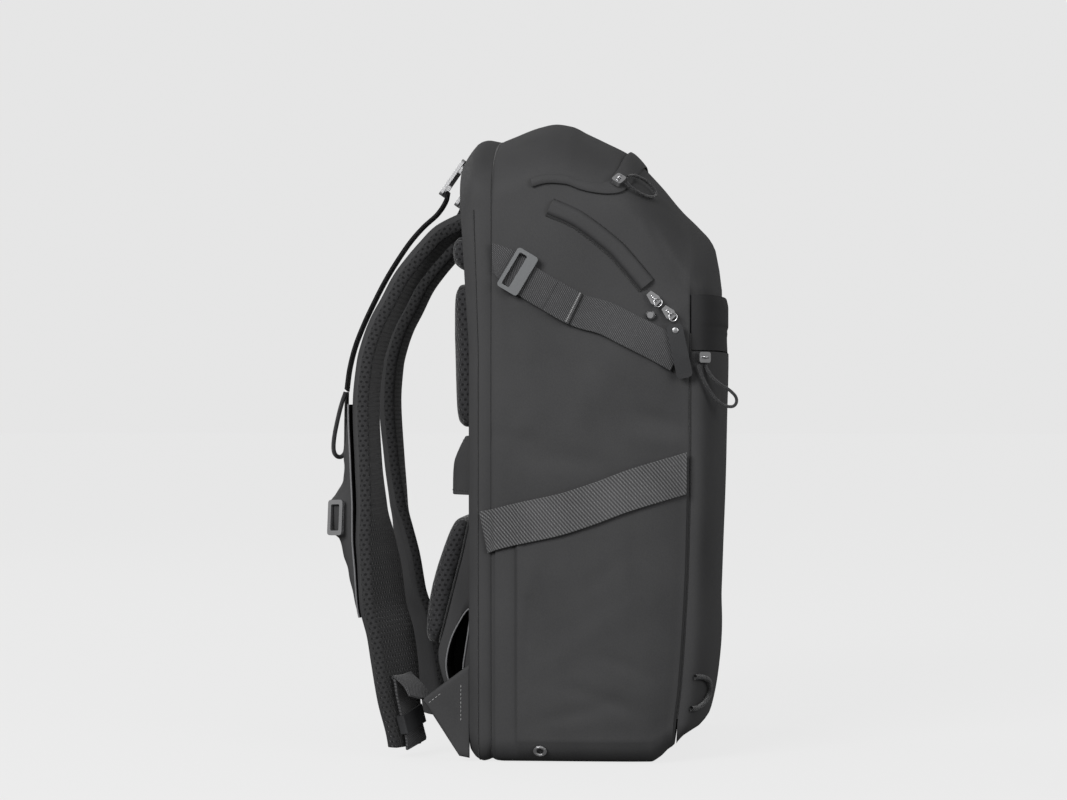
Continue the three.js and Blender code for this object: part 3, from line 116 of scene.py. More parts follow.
bpy.ops.mesh.primitive_plane_add(size=40, location=(0, 0, 0))
floor = bpy.context.object
floor.name = "floor"
floor_paint = bpy.data.materials.new("floor_paint")
floor_paint.use_nodes = True
floor_shader = floor_paint.node_tree.nodes["Principled BSDF"]
floor_shader.inputs["Base Color"].default_value = (0.06, 0.06, 0.06, 1)
floor_shader.inputs["Roughness"].default_value = 0.9
floor_shader.inputs["Specular IOR Level"].default_value = 0.0
floor_shader.inputs["Emission Color"].default_value = (1, 1, 1, 1)
seen_strength(floor_paint.node_tree, floor_shader.inputs["Emission Strength"], 0.775, 0.10)
floor.data.materials.append(floor_paint)


def soft_light(name, place, aim, size, power):
    data = bpy.data.lights.new(name, "AREA")
    data.shape = "RECTANGLE"
    data.size, data.size_y = size
    data.energy = power
    lamp = bpy.data.objects.new(name, data)
    lamp.location = place
    lamp.rotation_euler = (Vector(aim) - Vector(place)).to_track_quat("-Z", "Y").to_euler()
    bpy.context.scene.collection.objects.link(lamp)
    return lamp


soft_light("key", (-2.4, 1.3, 1.5), (0, 0, 0.25), (1.3, 1.3), 84)
soft_light("fill", (-2.2, -2.0, 0.9), (0, 0, 0.25), (1.6, 1.6), 34)
soft_light("rim", (1.6, 2.2, 1.6), (0, 0.05, 0.3), (1.2, 1.2), 14)

# %% [markdown]
# ## Shared surface effects
# Cloth shows its make at close range: a plain weave on the shell, a slanted twill on webbing, a
# field of small holes on the mesh. Each is one node group that turns a pattern position into a
# height and a shade, so that every material can set its own scale. Drawn by nodes, the pattern
# stays sharp at any distance, which a picture of cloth would not.

# %% Node group helpers


class Wiring:
    """A short way to add and join nodes in one tree."""

    def __init__(self, tree):
        self.tree = tree

    def node(self, kind, **settings):
        made = self.tree.nodes.new(kind)
        for key, value in settings.items():
            setattr(made, key, value)
        return made

    def join(self, source, target):
        self.tree.links.new(source, target)

    def math(self, operation, *values):
        made = self.node("ShaderNodeMath", operation=operation)
        for socket, value in zip(made.inputs, values):
            if hasattr(value, "is_linked"):
                self.join(value, socket)
            else:
                socket.default_value = value
        return made.outputs[0]

    def add(self, first, second):
        return self.math("ADD", first, second)

    def times(self, first, second):
        return self.math("MULTIPLY", first, second)

    def wave(self, value, turns):
        return self.math("SINE", self.times(value, turns))

    def parts(self, vector):
        made = self.node("ShaderNodeSeparateXYZ")
        self.join(vector, made.inputs[0])
        return made.outputs

    def between(self, value, low, high, to_low=0.0, to_high=1.0):
        made = self.node("ShaderNodeMapRange")
        self.join(value, made.inputs["Value"])
        names = ("From Min", "From Max", "To Min", "To Max")
        for name, number in zip(names, (low, high, to_low, to_high)):
            made.inputs[name].default_value = number
        return made.outputs["Result"]


def new_group(name, inputs, outputs):
    tree = bpy.data.node_groups.new(name, "ShaderNodeTree")
    for label, kind, value in inputs:
        socket = tree.interface.new_socket(label, in_out="INPUT", socket_type=kind)
        if value is not None:
            socket.default_value = value
    for label in outputs:
        tree.interface.new_socket(label, in_out="OUTPUT", socket_type="NodeSocketFloat")
    wires = Wiring(tree)
    return wires, wires.node("NodeGroupInput").outputs, wires.node("NodeGroupOutput").inputs


# %% Plain weave, twill, holes and handling marks
wires, given, result = new_group(
    "plain_weave",
    [("Position", "NodeSocketVector", None), ("Pitch", "NodeSocketFloat", 0.001)],
    ("Height", "Shade"),
)
split = wires.parts(given["Position"])
turns = wires.math("DIVIDE", 2 * math.pi, given["Pitch"])
warp = wires.wave(split[0], turns)
weft = wires.wave(split[1], turns)
over = wires.times(warp, weft)
wires.join(wires.between(over, -1, 1), result["Height"])
wires.join(wires.between(wires.math("ABSOLUTE", over), 0, 1, 0.82, 1.06), result["Shade"])

wires, given, result = new_group(
    "twill",
    [("Position", "NodeSocketVector", None), ("Pitch", "NodeSocketFloat", 0.0018),
     ("Slant", "NodeSocketFloat", 1.6)],
    ("Height", "Highlight_Fleck"),
)
split = wires.parts(given["Position"])
slanted = wires.times(split[0], given["Slant"])
line = wires.add(slanted, split[1])
turns = wires.math("DIVIDE", 2 * math.pi, given["Pitch"])
rib = wires.wave(line, turns)
cross = wires.times(split[1], wires.times(turns, 2.0))
yarn = wires.math("SINE", cross)
height = wires.add(wires.between(rib, -1, 1, 0, 0.75), wires.between(yarn, -1, 1, 0, 0.25))
wires.join(height, result["Height"])
# Painted highlight: light flecks on the rib crests, where the yarns would catch the light, scattered by
# fine noise.
speck = wires.node("ShaderNodeTexNoise")
speck.inputs["Scale"].default_value = 1500
wires.join(given["Position"], speck.inputs["Vector"])
bright = wires.times(wires.between(rib, 0.1, 1), wires.between(yarn, -0.2, 1))
highlight_fleck = wires.times(bright, wires.between(speck.outputs[0], 0.45, 0.7))
wires.join(highlight_fleck, result["Highlight_Fleck"])

wires, given, result = new_group(
    "hole_field",
    [("Position", "NodeSocketVector", None), ("Pitch", "NodeSocketFloat", 0.0044),
     ("Radius", "NodeSocketFloat", 0.26)],
    ("Hole",),
)
split = wires.parts(given["Position"])
across = wires.math("DIVIDE", split[0], given["Pitch"])
down = wires.math("DIVIDE", split[1], wires.times(given["Pitch"], 0.866))
row = wires.math("FLOOR", down)
shift = wires.times(wires.math("FLOORED_MODULO", row, 2.0), 0.5)
cell_x = wires.math("SUBTRACT", wires.math("FRACT", wires.add(across, shift)), 0.5)
cell_y = wires.math("SUBTRACT", wires.math("FRACT", down), 0.5)
far = wires.math("SQRT", wires.add(wires.times(cell_x, cell_x),
                                    wires.times(cell_y, cell_y)))
inner = wires.math("SUBTRACT", far, given["Radius"])
wires.join(wires.between(inner, -0.06, 0.06, 1, 0), result["Hole"])

wires, given, result = new_group(
    "handling_marks",
    [("Position", "NodeSocketVector", None)],
    ("Cloud", "Grain"),
)
cloud = wires.node("ShaderNodeTexNoise")
cloud.inputs["Scale"].default_value = 16
cloud.inputs["Detail"].default_value = 4
grain = wires.node("ShaderNodeTexNoise")
grain.inputs["Scale"].default_value = 900
wires.join(given["Position"], cloud.inputs["Vector"])
wires.join(given["Position"], grain.inputs["Vector"])
wires.join(wires.between(cloud.outputs[0], 0.3, 0.7), result["Cloud"])
wires.join(wires.between(grain.outputs[0], 0.35, 0.65), result["Grain"])
print("node groups:", [g.name for g in bpy.data.node_groups])

# %% [markdown]
# ## Finishes
# The shell is a matte coated nylon, dark grey and without sheen. Webbing is darker, with painted
# light on its ribs: the crests are painted lighter than the grooves, and light flecks are painted
# where the yarns would catch the light. The mesh is near black with small holes, painted darker as
# the dark layer beneath and as shade in the holes. Metal parts are satin nickel or gunmetal. Values
# that are the same all over sit on the shader itself.

# %% Material helpers


class Finish(Wiring):
    """The wiring of one material, with its shader and its pattern positions."""

    def __init__(self, name, rough, metal=0.0, sheen=0.0, specular=0.35):
        self.material = bpy.data.materials.new(name)
        self.material.use_nodes = True
        super().__init__(self.material.node_tree)
        self.inputs = self.tree.nodes["Principled BSDF"].inputs
        self.inputs["Roughness"].default_value = rough
        self.inputs["Metallic"].default_value = metal
        self.inputs["Sheen Weight"].default_value = sheen
        self.inputs["Sheen Roughness"].default_value = 0.45
        self.inputs["Specular IOR Level"].default_value = specular
        self.place = self.node("ShaderNodeTexCoord").outputs

    def group(self, name, position, **values):
        made = self.node("ShaderNodeGroup", node_tree=bpy.data.node_groups[name])
        self.join(position, made.inputs["Position"])
        for key, value in values.items():
            made.inputs[key].default_value = value
        return made.outputs

    def marks(self):
        made = self.group("handling_marks", self.place["Object"])
        return made["Cloud"], made["Grain"]

    def colour(self, factor, dark, light):
        made = self.node("ShaderNodeMix", data_type="RGBA")
        self.join(factor, made.inputs[0])
        made.inputs[6].default_value = (*dark, 1)
        made.inputs[7].default_value = (*light, 1)
        self.join(made.outputs[2], self.inputs["Base Color"])

    def roughness(self, value, at_low, at_high):
        self.join(self.between(value, 0, 1, at_low, at_high), self.inputs["Roughness"])

    def bump(self, height, strength, distance):
        made = self.node("ShaderNodeBump")
        made.inputs["Strength"].default_value = strength
        made.inputs["Distance"].default_value = distance
        self.join(height, made.inputs["Height"])
        self.join(made.outputs[0], self.inputs["Normal"])


def coated_cloth(name, dark, light, pitch=0.0011, weave=0.35, rough=0.74, source="UV"):
    cloth = Finish(name, rough, specular=0.2)
    threads = cloth.group("plain_weave", cloth.place[source], Pitch=pitch)
    cloud, grain = cloth.marks()
    mixed = cloth.add(cloth.times(cloud, 0.55), cloth.times(grain, 0.2))
    cloth.colour(cloth.times(cloth.add(mixed, 0.15), threads["Shade"]), dark, light)
    cloth.roughness(cloud, rough - 0.05, rough + 0.06)
    height = cloth.add(cloth.times(threads["Height"], 0.8), cloth.times(grain, 0.4))
    cloth.bump(height, weave, 0.00012)
    return cloth.material


def webbing_cloth(name, dark, light, pitch=0.0019, slant=1.7, highlight_fleck=0.8):
    cloth = Finish(name, 0.7, sheen=0.15)
    ribs = cloth.group("twill", cloth.place["UV"], Pitch=pitch, Slant=slant)
    cloud, _ = cloth.marks()
    # Painted light: the rib crests are coloured lighter than the grooves, with the painted highlight
    # flecks on top.
    shade = cloth.add(cloth.times(ribs["Height"], 0.35), cloth.times(ribs["Highlight_Fleck"], highlight_fleck))
    cloth.colour(cloth.add(shade, cloth.times(cloud, 0.12)), dark, light)
    cloth.roughness(ribs["Height"], 0.8, 0.6)
    cloth.bump(ribs["Height"], 0.8, 0.00035)
    return cloth.material


def holes_from_two_sides(cloth):
    """Holes laid flat from the back, and from the side where a surface faces sideways."""
    place, facing = cloth.parts(cloth.place["Object"]), cloth.parts(cloth.place["Normal"])
    holes = []
    for first in (0, 1):
        flat = cloth.node("ShaderNodeCombineXYZ")
        cloth.join(place[first], flat.inputs[0])
        cloth.join(place[2], flat.inputs[1])
        holes.append(cloth.group("hole_field", flat.outputs[0])["Hole"])
    sideways = cloth.between(cloth.math("ABSOLUTE", facing[0]), 0.62, 0.74)
    keep = cloth.math("SUBTRACT", 1.0, sideways)
    return cloth.add(cloth.times(holes[0], keep), cloth.times(holes[1], sideways))


def mesh_cloth(name, dark, light, source="UV"):
    cloth = Finish(name, 0.85, sheen=0.2)
    if source == "UV":
        hole = cloth.group("hole_field", cloth.place["UV"])["Hole"]
    else:
        hole = holes_from_two_sides(cloth)
    _, grain = cloth.marks()
    # Painted shade: the holes are coloured darker, partly the dark layer beneath and partly shade in
    # the holes.
    solid = cloth.math("SUBTRACT", 1.0, hole)
    cloth.colour(cloth.times(solid, cloth.between(grain, 0, 1, 0.55, 1)), dark, light)
    cloth.roughness(solid, 0.95, 0.8)
    cloth.bump(cloth.add(solid, cloth.times(grain, 0.25)), 0.9, 0.0006)
    return cloth.material


def satin_metal(name, colour, rough):
    metal = Finish(name, rough, metal=1.0)
    cloud, grain = metal.marks()
    lift = metal.add(metal.times(grain, 0.12), metal.times(cloud, 0.88))
    metal.colour(lift, tuple(v * 0.7 for v in colour), colour)
    metal.roughness(lift, rough + 0.1, rough - 0.05)
    metal.bump(grain, 0.05, 0.00008)
    return metal.material


def braided_cord(name, dark, light, pitch=0.0016):
    cord = Finish(name, 0.7, sheen=0.2)
    place = cord.parts(cord.place["UV"])
    turns = 2 * math.pi / pitch
    one = cord.wave(cord.add(place[0], place[1]), turns)
    two = cord.wave(cord.math("SUBTRACT", place[0], place[1]), turns)
    # Painted shade: the braid is coloured lighter on its strand crests and darker in the grooves
    # between strands.
    strand = cord.between(cord.math("MAXIMUM", one, two), -0.4, 1)
    cord.colour(strand, dark, light)
    cord.roughness(strand, 0.85, 0.62)
    cord.bump(strand, 0.7, 0.0003)
    return cord.material


# %% The bag's finishes
SHELL = coated_cloth("shell_cloth", (0.029, 0.029, 0.030), (0.050, 0.050, 0.051))
SHELL_DARK = coated_cloth("panel_cloth", (0.013, 0.013, 0.0135), (0.026, 0.026, 0.027))
STRAP_FACE = coated_cloth("strap_face_cloth", (0.024, 0.024, 0.025), (0.044, 0.044, 0.045))
WEBBING = webbing_cloth("webbing_cloth", (0.006, 0.006, 0.0065), (0.15, 0.15, 0.155), 0.0024, -1.5)
WEBBING_BAND = webbing_cloth("band_cloth", (0.010, 0.010, 0.0105), (0.24, 0.24, 0.245), 0.0024,
                             0.75)
WEBBING_THIN = webbing_cloth("thin_webbing_cloth", (0.004, 0.004, 0.0045), (0.03, 0.03, 0.031),
                             0.0014, 0.4, 0.4)
SPACER_MESH = mesh_cloth("spacer_mesh", (0.004, 0.004, 0.0045), (0.019, 0.019, 0.020))
PAD_MESH = mesh_cloth("pad_mesh", (0.004, 0.004, 0.0045), (0.022, 0.022, 0.024), "Object")
NICKEL = satin_metal("satin_nickel", (0.62, 0.62, 0.63), 0.24)
GUNMETAL = satin_metal("gunmetal", (0.20, 0.205, 0.21), 0.36)
CORD = braided_cord("braided_cord", (0.006, 0.006, 0.0065), (0.035, 0.035, 0.037))
THREAD = braided_cord("light_thread", (0.22, 0.22, 0.22), (0.42, 0.42, 0.42), 0.0005)
SEAM = braided_cord("seam_cord", (0.006, 0.006, 0.006), (0.018, 0.018, 0.019), 0.0008)
PULL = coated_cloth("pull_rubber", (0.018, 0.018, 0.019), (0.045, 0.046, 0.048), 0.0006, 0.2, 0.5,
                    "Object")
PIPING = coated_cloth("light_piping", (0.10, 0.10, 0.105), (0.22, 0.22, 0.225), 0.0006, 0.2, 0.5)
print("materials:", len(bpy.data.materials))

# %% [markdown]
# ## Mesh helpers
# Soft pieces are drawn as sheets of points: a table of sections gives the main form, and folds
# are added as small pushes along the surface. A sheet becomes a solid by copying it inwards by
# the cloth's thickness. That keeps the weave's direction, which a sculpted lump would lose.

# %% Build a mesh from points
LINK = bpy.context.scene.collection.objects.link


def run_length(points):
    """The distance run at each of the points."""
    return np.concatenate([[0], np.cumsum(np.linalg.norm(np.diff(points, axis=0), axis=1))])


def along_line(points, run, at):
    """Places on a line of points, at distances run along it."""
    return np.stack([np.interp(at, run, points[:, k]) for k in range(points.shape[1])], axis=1)


def closed_line(points):
    return np.vstack([points, points[:1]])


def xyz(x, y, z):
    return np.stack(np.broadcast_arrays(x, y, z), axis=-1)


def spline(a, b, c, d, t):
    """A point between b and c on the smooth curve through four points."""
    return 0.5 * (2 * b + (c - a) * t + (2 * a - 5 * b + 4 * c - d) * t**2
                  + (3 * b - a - 3 * c + d) * t**3)


def clear_selection():
    for other in bpy.context.selected_objects:
        other.select_set(False)


def only_active(obj):
    clear_selection()
    obj.select_set(True)
    bpy.context.view_layer.objects.active = obj


def finish_piece(obj, material, slot, *nodes):
    """Gives a finished piece its material and its place in the frame."""
    if material is not None:
        obj.data.materials.clear()
        obj.data.materials.append(material)
    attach(obj, "root")
    if nodes:
        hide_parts(*nodes)
    return obj


def mesh_object(name, points, faces, loop_uv=None, angle=40):
    mesh = bpy.data.meshes.new(name)
    mesh.from_pydata((np.asarray(points) * MM).tolist(), [], faces)
    if loop_uv is not None:
        layer = mesh.uv_layers.new(name="cloth")
        layer.data.foreach_set("uv", (np.asarray(loop_uv) * MM).ravel())
    obj = bpy.data.objects.new(name, mesh)
    LINK(obj)
    shape = bmesh.new()
    shape.from_mesh(mesh)
    bmesh.ops.recalc_face_normals(shape, faces=shape.faces)
    shape.to_mesh(mesh)
    shape.free()
    only_active(obj)
    bpy.ops.object.shade_smooth_by_angle(angle=math.radians(angle))
    return obj


def cloth_uv(grid, closed):
    """Distances along a grid of points, so that a weave keeps its real size."""
    middle = grid[len(grid) // 2]
    ring = closed_line(middle) if closed else middle
    across = run_length(ring)
    steps = np.linalg.norm(np.diff(grid, axis=0), axis=2).mean(axis=1)
    return across, np.concatenate([[0], np.cumsum(steps)])


def loft(name, grid, closed=True, caps=True, back=None, angle=40):
    """A solid from a grid of points: a tube of rings with caps, or a sheet with a back sheet."""
    grid = np.asarray(grid, float)
    rows, columns, _ = grid.shape
    across, along = cloth_uv(grid, closed)
    faces, uv = [], []
    last = columns if closed else columns - 1

    def quads(start, turned):
        for i in range(rows - 1):
            for j in range(last):
                k = (j + 1) % columns
                corners = [(i, j, j), (i, k, j + 1), (i + 1, k, j + 1), (i + 1, j, j)]
                if turned:
                    corners.reverse()
                faces.append([start + a * columns + b for a, b, _ in corners])
                uv.extend([(across[c], along[a]) for a, _, c in corners])

    quads(0, False)
    points = grid.reshape(-1, 3)
    if back is not None:
        points = np.vstack([points, np.asarray(back, float).reshape(-1, 3)])
        size = rows * columns
        quads(size, True)
        rim = [(0, j) for j in range(columns - 1)] + [(i, columns - 1) for i in range(rows - 1)]
        rim += [(rows - 1, j) for j in range(columns - 1, 0, -1)]
        rim += [(i, 0) for i in range(rows - 1, 0, -1)]
        if closed:
            edges = [[(i, j), (i, (j + 1) % columns)] for i in (0, rows - 1) for j in range(columns)]
        else:
            edges = [[rim[i], rim[(i + 1) % len(rim)]] for i in range(len(rim))]
        for (a, b), (c, d) in edges:
            one, two = a * columns + b, c * columns + d
            faces.append([two, one, size + one, size + two])
            uv.extend([(across[d], along[c]), (across[b], along[a])] * 2)
    elif caps:
        for row in (0, rows - 1):
            faces.append([row * columns + j for j in range(columns)])
            centre = grid[row].mean(axis=0)
            spans = grid[row] - centre
            main = spans[np.argmax(np.linalg.norm(spans, axis=1))]
            main = main / np.linalg.norm(main)
            other = np.cross(main, np.cross(main, spans[1] + spans[columns // 4]))
            other = other / max(np.linalg.norm(other), 1e-9)
            uv.extend([(float(s @ main), float(s @ other)) for s in spans])
    return mesh_object(name, points, faces, uv, angle)


def sheet_normals(grid, outward):
    """Unit normals of a grid, turned to the side that outward points to."""
    grid = np.asarray(grid, float)
    normal = np.cross(np.gradient(grid, axis=0), np.gradient(grid, axis=1))
    normal /= np.maximum(np.linalg.norm(normal, axis=2, keepdims=True), 1e-9)
    if (normal * np.asarray(outward)).sum() < 0:
        normal = -normal
    return normal


def soften(obj, width, segments=2, angle=50):
    bevel = obj.modifiers.new("soft_edges", "BEVEL")
    bevel.width = width * MM
    bevel.segments = segments
    bevel.limit_method = "ANGLE"
    bevel.angle_limit = math.radians(angle)
    bevel.harden_normals = False


def cloth_sheet(name, face, back, material, slot, node, edge=0.0, angle=50):
    """A finished sheet of cloth or webbing, with its edges softened by a width."""
    piece = loft(name, face, closed=False, back=back, angle=angle)
    if edge:
        soften(piece, edge)
    return finish_piece(piece, material, slot, node)


# %% Smooth tables and routes


def smooth_table(rows):
    """A smooth curve through a table: the first column is the key."""
    table = np.array(rows, float)
    key, values = table[:, 0], table[:, 1:]
    if key[0] > key[-1]:
        key, values = key[::-1], values[::-1]
    gap = np.diff(key)[:, None]
    slope = np.diff(values, axis=0) / gap
    tangent = np.zeros_like(values)
    tangent[1:-1] = np.where(slope[:-1] * slope[1:] > 0,
                             2 * slope[:-1] * slope[1:] / (slope[:-1] + slope[1:] + 1e-12), 0)
    tangent[0], tangent[-1] = slope[0], slope[-1]

    def at(value):
        value = np.clip(np.asarray(value, float), key[0], key[-1])
        i = np.clip(np.searchsorted(key, value) - 1, 0, len(gap) - 1)
        h = gap[i, 0]
        t = ((value - key[i]) / h)[..., None]
        h = h[..., None]
        return (values[i] * (2 * t**3 - 3 * t**2 + 1) + values[i + 1] * (3 * t**2 - 2 * t**3)
                + tangent[i] * h * (t**3 - 2 * t**2 + t) + tangent[i + 1] * h * (t**3 - t**2))

    return at


def smooth_curve(rows):
    """A smooth table with one value for each key."""
    table = smooth_table(rows)
    return lambda value: table(value)[..., 0]


def smooth_route(points, steps):
    """A curve through points, in even steps."""
    points = np.array(points, float)
    padded = np.vstack([2 * points[0] - points[1], points, 2 * points[-1] - points[-2]])
    fine = []
    for i in range(1, len(padded) - 2):
        a, b, c, d = padded[i - 1:i + 3]
        for t in np.linspace(0, 1, 24, endpoint=False):
            fine.append(spline(a, b, c, d, t))
    fine.append(points[-1])
    fine = np.array(fine)
    run = run_length(fine)
    return along_line(fine, run, np.linspace(0, run[-1], steps + 1))


def smooth_step(value):
    value = np.clip(value, 0, 1)
    return value * value * (3 - 2 * value)


def creases(first, second, table):
    """Pushes along straight folds. Rows: from, to, width and height of each fold, in mm."""
    total = np.zeros(np.broadcast(first, second).shape)
    for y0, z0, y1, z1, width, height in table:
        length2 = (y1 - y0) ** 2 + (z1 - z0) ** 2
        t = np.clip(((first - y0) * (y1 - y0) + (second - z0) * (z1 - z0)) / length2, 0, 1)
        far2 = (first - y0 - t * (y1 - y0)) ** 2 + (second - z0 - t * (z1 - z0)) ** 2
        total += height * np.exp(-far2 / width**2) * np.sin(math.pi * (0.12 + 0.76 * t)) ** 0.7
    return total


# %% Ropes, stitches and cords


def sweep(points, radii, sides=8):
    """Rings of a round tube along points."""
    points = np.asarray(points, float)
    way = np.gradient(points, axis=0)
    way /= np.maximum(np.linalg.norm(way, axis=1, keepdims=True), 1e-9)
    first = np.cross(way[0], [0.31, 0.17, 0.94])
    first /= np.linalg.norm(first)
    turns = np.linspace(0, 2 * math.pi, sides, endpoint=False)
    rings = []
    for place, forward, radius in zip(points, way, np.broadcast_to(radii, len(points))):
        first = first - forward * (first @ forward)
        first /= np.linalg.norm(first)
        other = np.cross(forward, first)
        rings.append(place + radius * (np.cos(turns)[:, None] * first
                                       + np.sin(turns)[:, None] * other))
    return np.array(rings)


def rope(name, points, diameter, material, slot, closed=False):
    """A sewn-in cord or piping along points."""
    piece = loft(name, sweep(points, diameter / 2), caps=not closed, angle=60)
    return finish_piece(piece, material, slot)


def stitches(name, points, length, gap, diameter, material, slot):
    """A row of short stitches along points that lie on the cloth."""
    points = np.asarray(points, float)
    run = run_length(points)
    verts, faces, start = [], [], 0
    while start + length < run[-1]:
        line = along_line(points, run, np.linspace(start, start + length, 5))
        rings = sweep(line, diameter / 2 * np.array([0.35, 0.9, 1.0, 0.9, 0.35]), 6)
        base = len(verts)
        verts.extend(rings.reshape(-1, 3))
        for i in range(4):
            for j in range(6):
                k = (j + 1) % 6
                faces.append([base + i * 6 + j, base + i * 6 + k, base + i * 6 + 6 + k,
                              base + i * 6 + 6 + j])
        faces.append([base + j for j in range(6)])
        faces.append([base + 24 + j for j in range(6)])
        start += length + gap
    piece = mesh_object(name, verts, faces, None, 80)
    return finish_piece(piece, material, slot)


# %% [markdown]
# ## Cords
# Short loops of thin cord serve as zip pulls and finger loops, and thicker ones as lash points.
# Both ends of each loop go back into a slider or a seam. A curve with a round bevel is enough,
# because each has one thickness.

# %% Cord loops
lid_pull_route = [
    (-136.6, -49.0, 439.4), (-134.8, -51.3, 440.3), (-132.4, -53.7, 440.6), (-129.2, -56.0, 440.3),
    (-125.5, -58.2, 439.6), (-121.2, -60.5, 438.6), (-117.0, -62.8, 437.2), (-113.3, -65.0, 435.4),
    (-110.7, -67.4, 432.8), (-110.6, -69.2, 429.6), (-113.2, -69.5, 426.9), (-117.2, -67.9, 425.6),
    (-121.6, -65.5, 425.3), (-125.6, -62.9, 425.6), (-129.4, -60.2, 426.4), (-133.0, -57.2, 427.9),
    (-136.2, -53.8, 430.0), (-138.4, -50.8, 432.4), (-139.5, -48.3, 434.9),
]
front_pull_route = [
    (-136.6, -107.0, 298.6), (-137.3, -108.2, 295.6), (-137.5, -110.2, 292.2),
    (-137.3, -112.9, 288.8), (-136.6, -116.4, 285.6), (-135.5, -120.2, 282.9),
    (-134.2, -124.0, 280.4), (-132.9, -127.4, 277.6), (-131.9, -130.0, 274.2),
    (-131.7, -130.3, 270.4), (-132.5, -128.2, 267.7), (-133.8, -124.6, 267.3),
    (-135.2, -120.6, 268.6), (-136.8, -116.4, 271.6), (-138.4, -112.7, 275.8),
    (-139.9, -109.5, 280.6), (-141.2, -106.6, 286.0), (-142.1, -104.0, 292.0),
    (-142.4, -102.0, 298.6),
]
lifter_loop_route = [
    (-79.4, 171.4, 278.4), (-79.8, 173.6, 272.0), (-80.4, 175.6, 265.0), (-81.2, 177.4, 257.0),
    (-82.0, 179.0, 249.0), (-82.7, 180.1, 241.5), (-83.0, 180.4, 235.4), (-82.3, 179.9, 231.5),
    (-80.2, 178.4, 228.9), (-77.3, 176.4, 228.0), (-74.4, 174.4, 228.9), (-72.3, 172.9, 231.5),
    (-71.5, 172.3, 235.4), (-71.4, 172.1, 242.0), (-71.6, 172.0, 250.0), (-72.2, 171.8, 259.0),
    (-73.0, 171.5, 268.5), (-73.6, 171.2, 278.4),
]


def cord_loop(name, route, diameter, node):
    """A loop of cord whose two ends go back into the pack."""
    line = smooth_route(route, 72)
    curve = bpy.data.curves.new(name, "CURVE")
    curve.dimensions = "3D"
    curve.bevel_depth = diameter / 2 * MM
    curve.bevel_resolution = 4
    strand = curve.splines.new("POLY")
    strand.points.add(len(line) - 1)
    for point, place in zip(strand.points, line):
        point.co = (*(place * MM), 1)
    strand.use_smooth = True
    piece = bpy.data.objects.new(name, curve)
    LINK(piece)
    piece.data.materials.append(CORD)
    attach(piece, "root")
    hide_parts(node)


cord_loop("lid_pull_loop", lid_pull_route, 2.4, "lid_pull_cord")
cord_loop("front_pull_loop", front_pull_route, 2.4, "front_pull_cord")
for side, word in ((1, "left"), (-1, "right")):
    route = [(x * side, y, z) for x, y, z in lifter_loop_route]
    cord_loop("finger_loop_" + word, route, 3.4, "lifter_loop_" + word)

# %% [markdown]
# ## The main body
# The body is one long ring of cloth round a foam lining, lofted from the back seam to the front
# seam through the sections of the frame. The sections are smoothed, so the lid swells like cloth.
# Soft dents and creases follow the photograph. The inside is a second wall, 3 mm in.

# %% Body sections
HALF, TALL, DEEP = 143.0, 490.5, 177.5
REAR_SEAM, BAND_DEEP, SHOULDER, FOOT, BULGE = 53.0, 16.5, 58.0, 18.0, 3.0
BACK_FACE = REAR_SEAM + BAND_DEEP
DOME_POWER = 2.1
GRIP_START, FRONT_SEAM, FRONT_END = 0.524, 0.836, 0.971
LINING = 3.0
BASE_POINTS, TURN_POINTS, SIDE_POINTS, DOME_POINTS = 30, 8, 90, 44
WALL_ROWS = 84
main_rows = [
    (0.000, 0.986, 0.9710, 0.0040), (0.017, 0.996, 0.9740, 0.0010),
    (0.053, 1.000, 0.9790, 0.0000), (0.175, 1.000, 0.9953, 0.0000),
    (0.243, 1.000, 1.0000, 0.0000), (0.310, 1.000, 0.9966, 0.0000),
    (0.378, 1.000, 0.9850, 0.0000), (0.457, 0.998, 0.9716, 0.0000),
    (0.563, 0.995, 0.9520, 0.0000), (0.620, 0.992, 0.9330, 0.0000),
    (0.670, 0.988, 0.9140, 0.0000), (0.716, 0.983, 0.8955, 0.0000),
    (0.772, 0.976, 0.8700, 0.0082), (0.808, 0.969, 0.8550, 0.0192),
    (0.836, 0.962, 0.8450, 0.0270), (0.842, 0.940, 0.8430, 0.0500),
    (0.883, 0.905, 0.8277, 0.0650), (0.915, 0.850, 0.8150, 0.0850),
    (0.943, 0.740, 0.7960, 0.1100), (0.960, 0.600, 0.7640, 0.1500),
    (0.971, 0.430, 0.7320, 0.2000),
]
band_rows = [
    (0.00, 0.986, 0.9710, 0.0040), (0.22, 0.992, 0.9735, 0.0010),
    (0.40, 0.993, 0.9750, 0.0000), (0.60, 0.987, 0.9725, 0.0020),
    (0.80, 0.973, 0.9620, 0.0060), (1.00, 0.952, 0.9470, 0.0140),
]
main_at, band_at = smooth_table(main_rows), smooth_table(band_rows)
front_lean = smooth_curve([(0.0, 12.0), (0.059, 10.5), (0.114, 7.4), (0.192, 4.5), (0.312, 1.5),
                           (0.48, 0.0), (1.0, 0.0)])
front_slump = smooth_curve([(0.0, 3.7), (0.52, 3.7), (0.64, 1.1), (0.70, 0.0), (1.0, 0.0)])
rear_lean = smooth_curve([(0.0, 0.0), (0.612, 0.0), (0.707, 2.3), (0.815, 5.4), (0.946, 9.4),
                          (1.0, 9.4)])


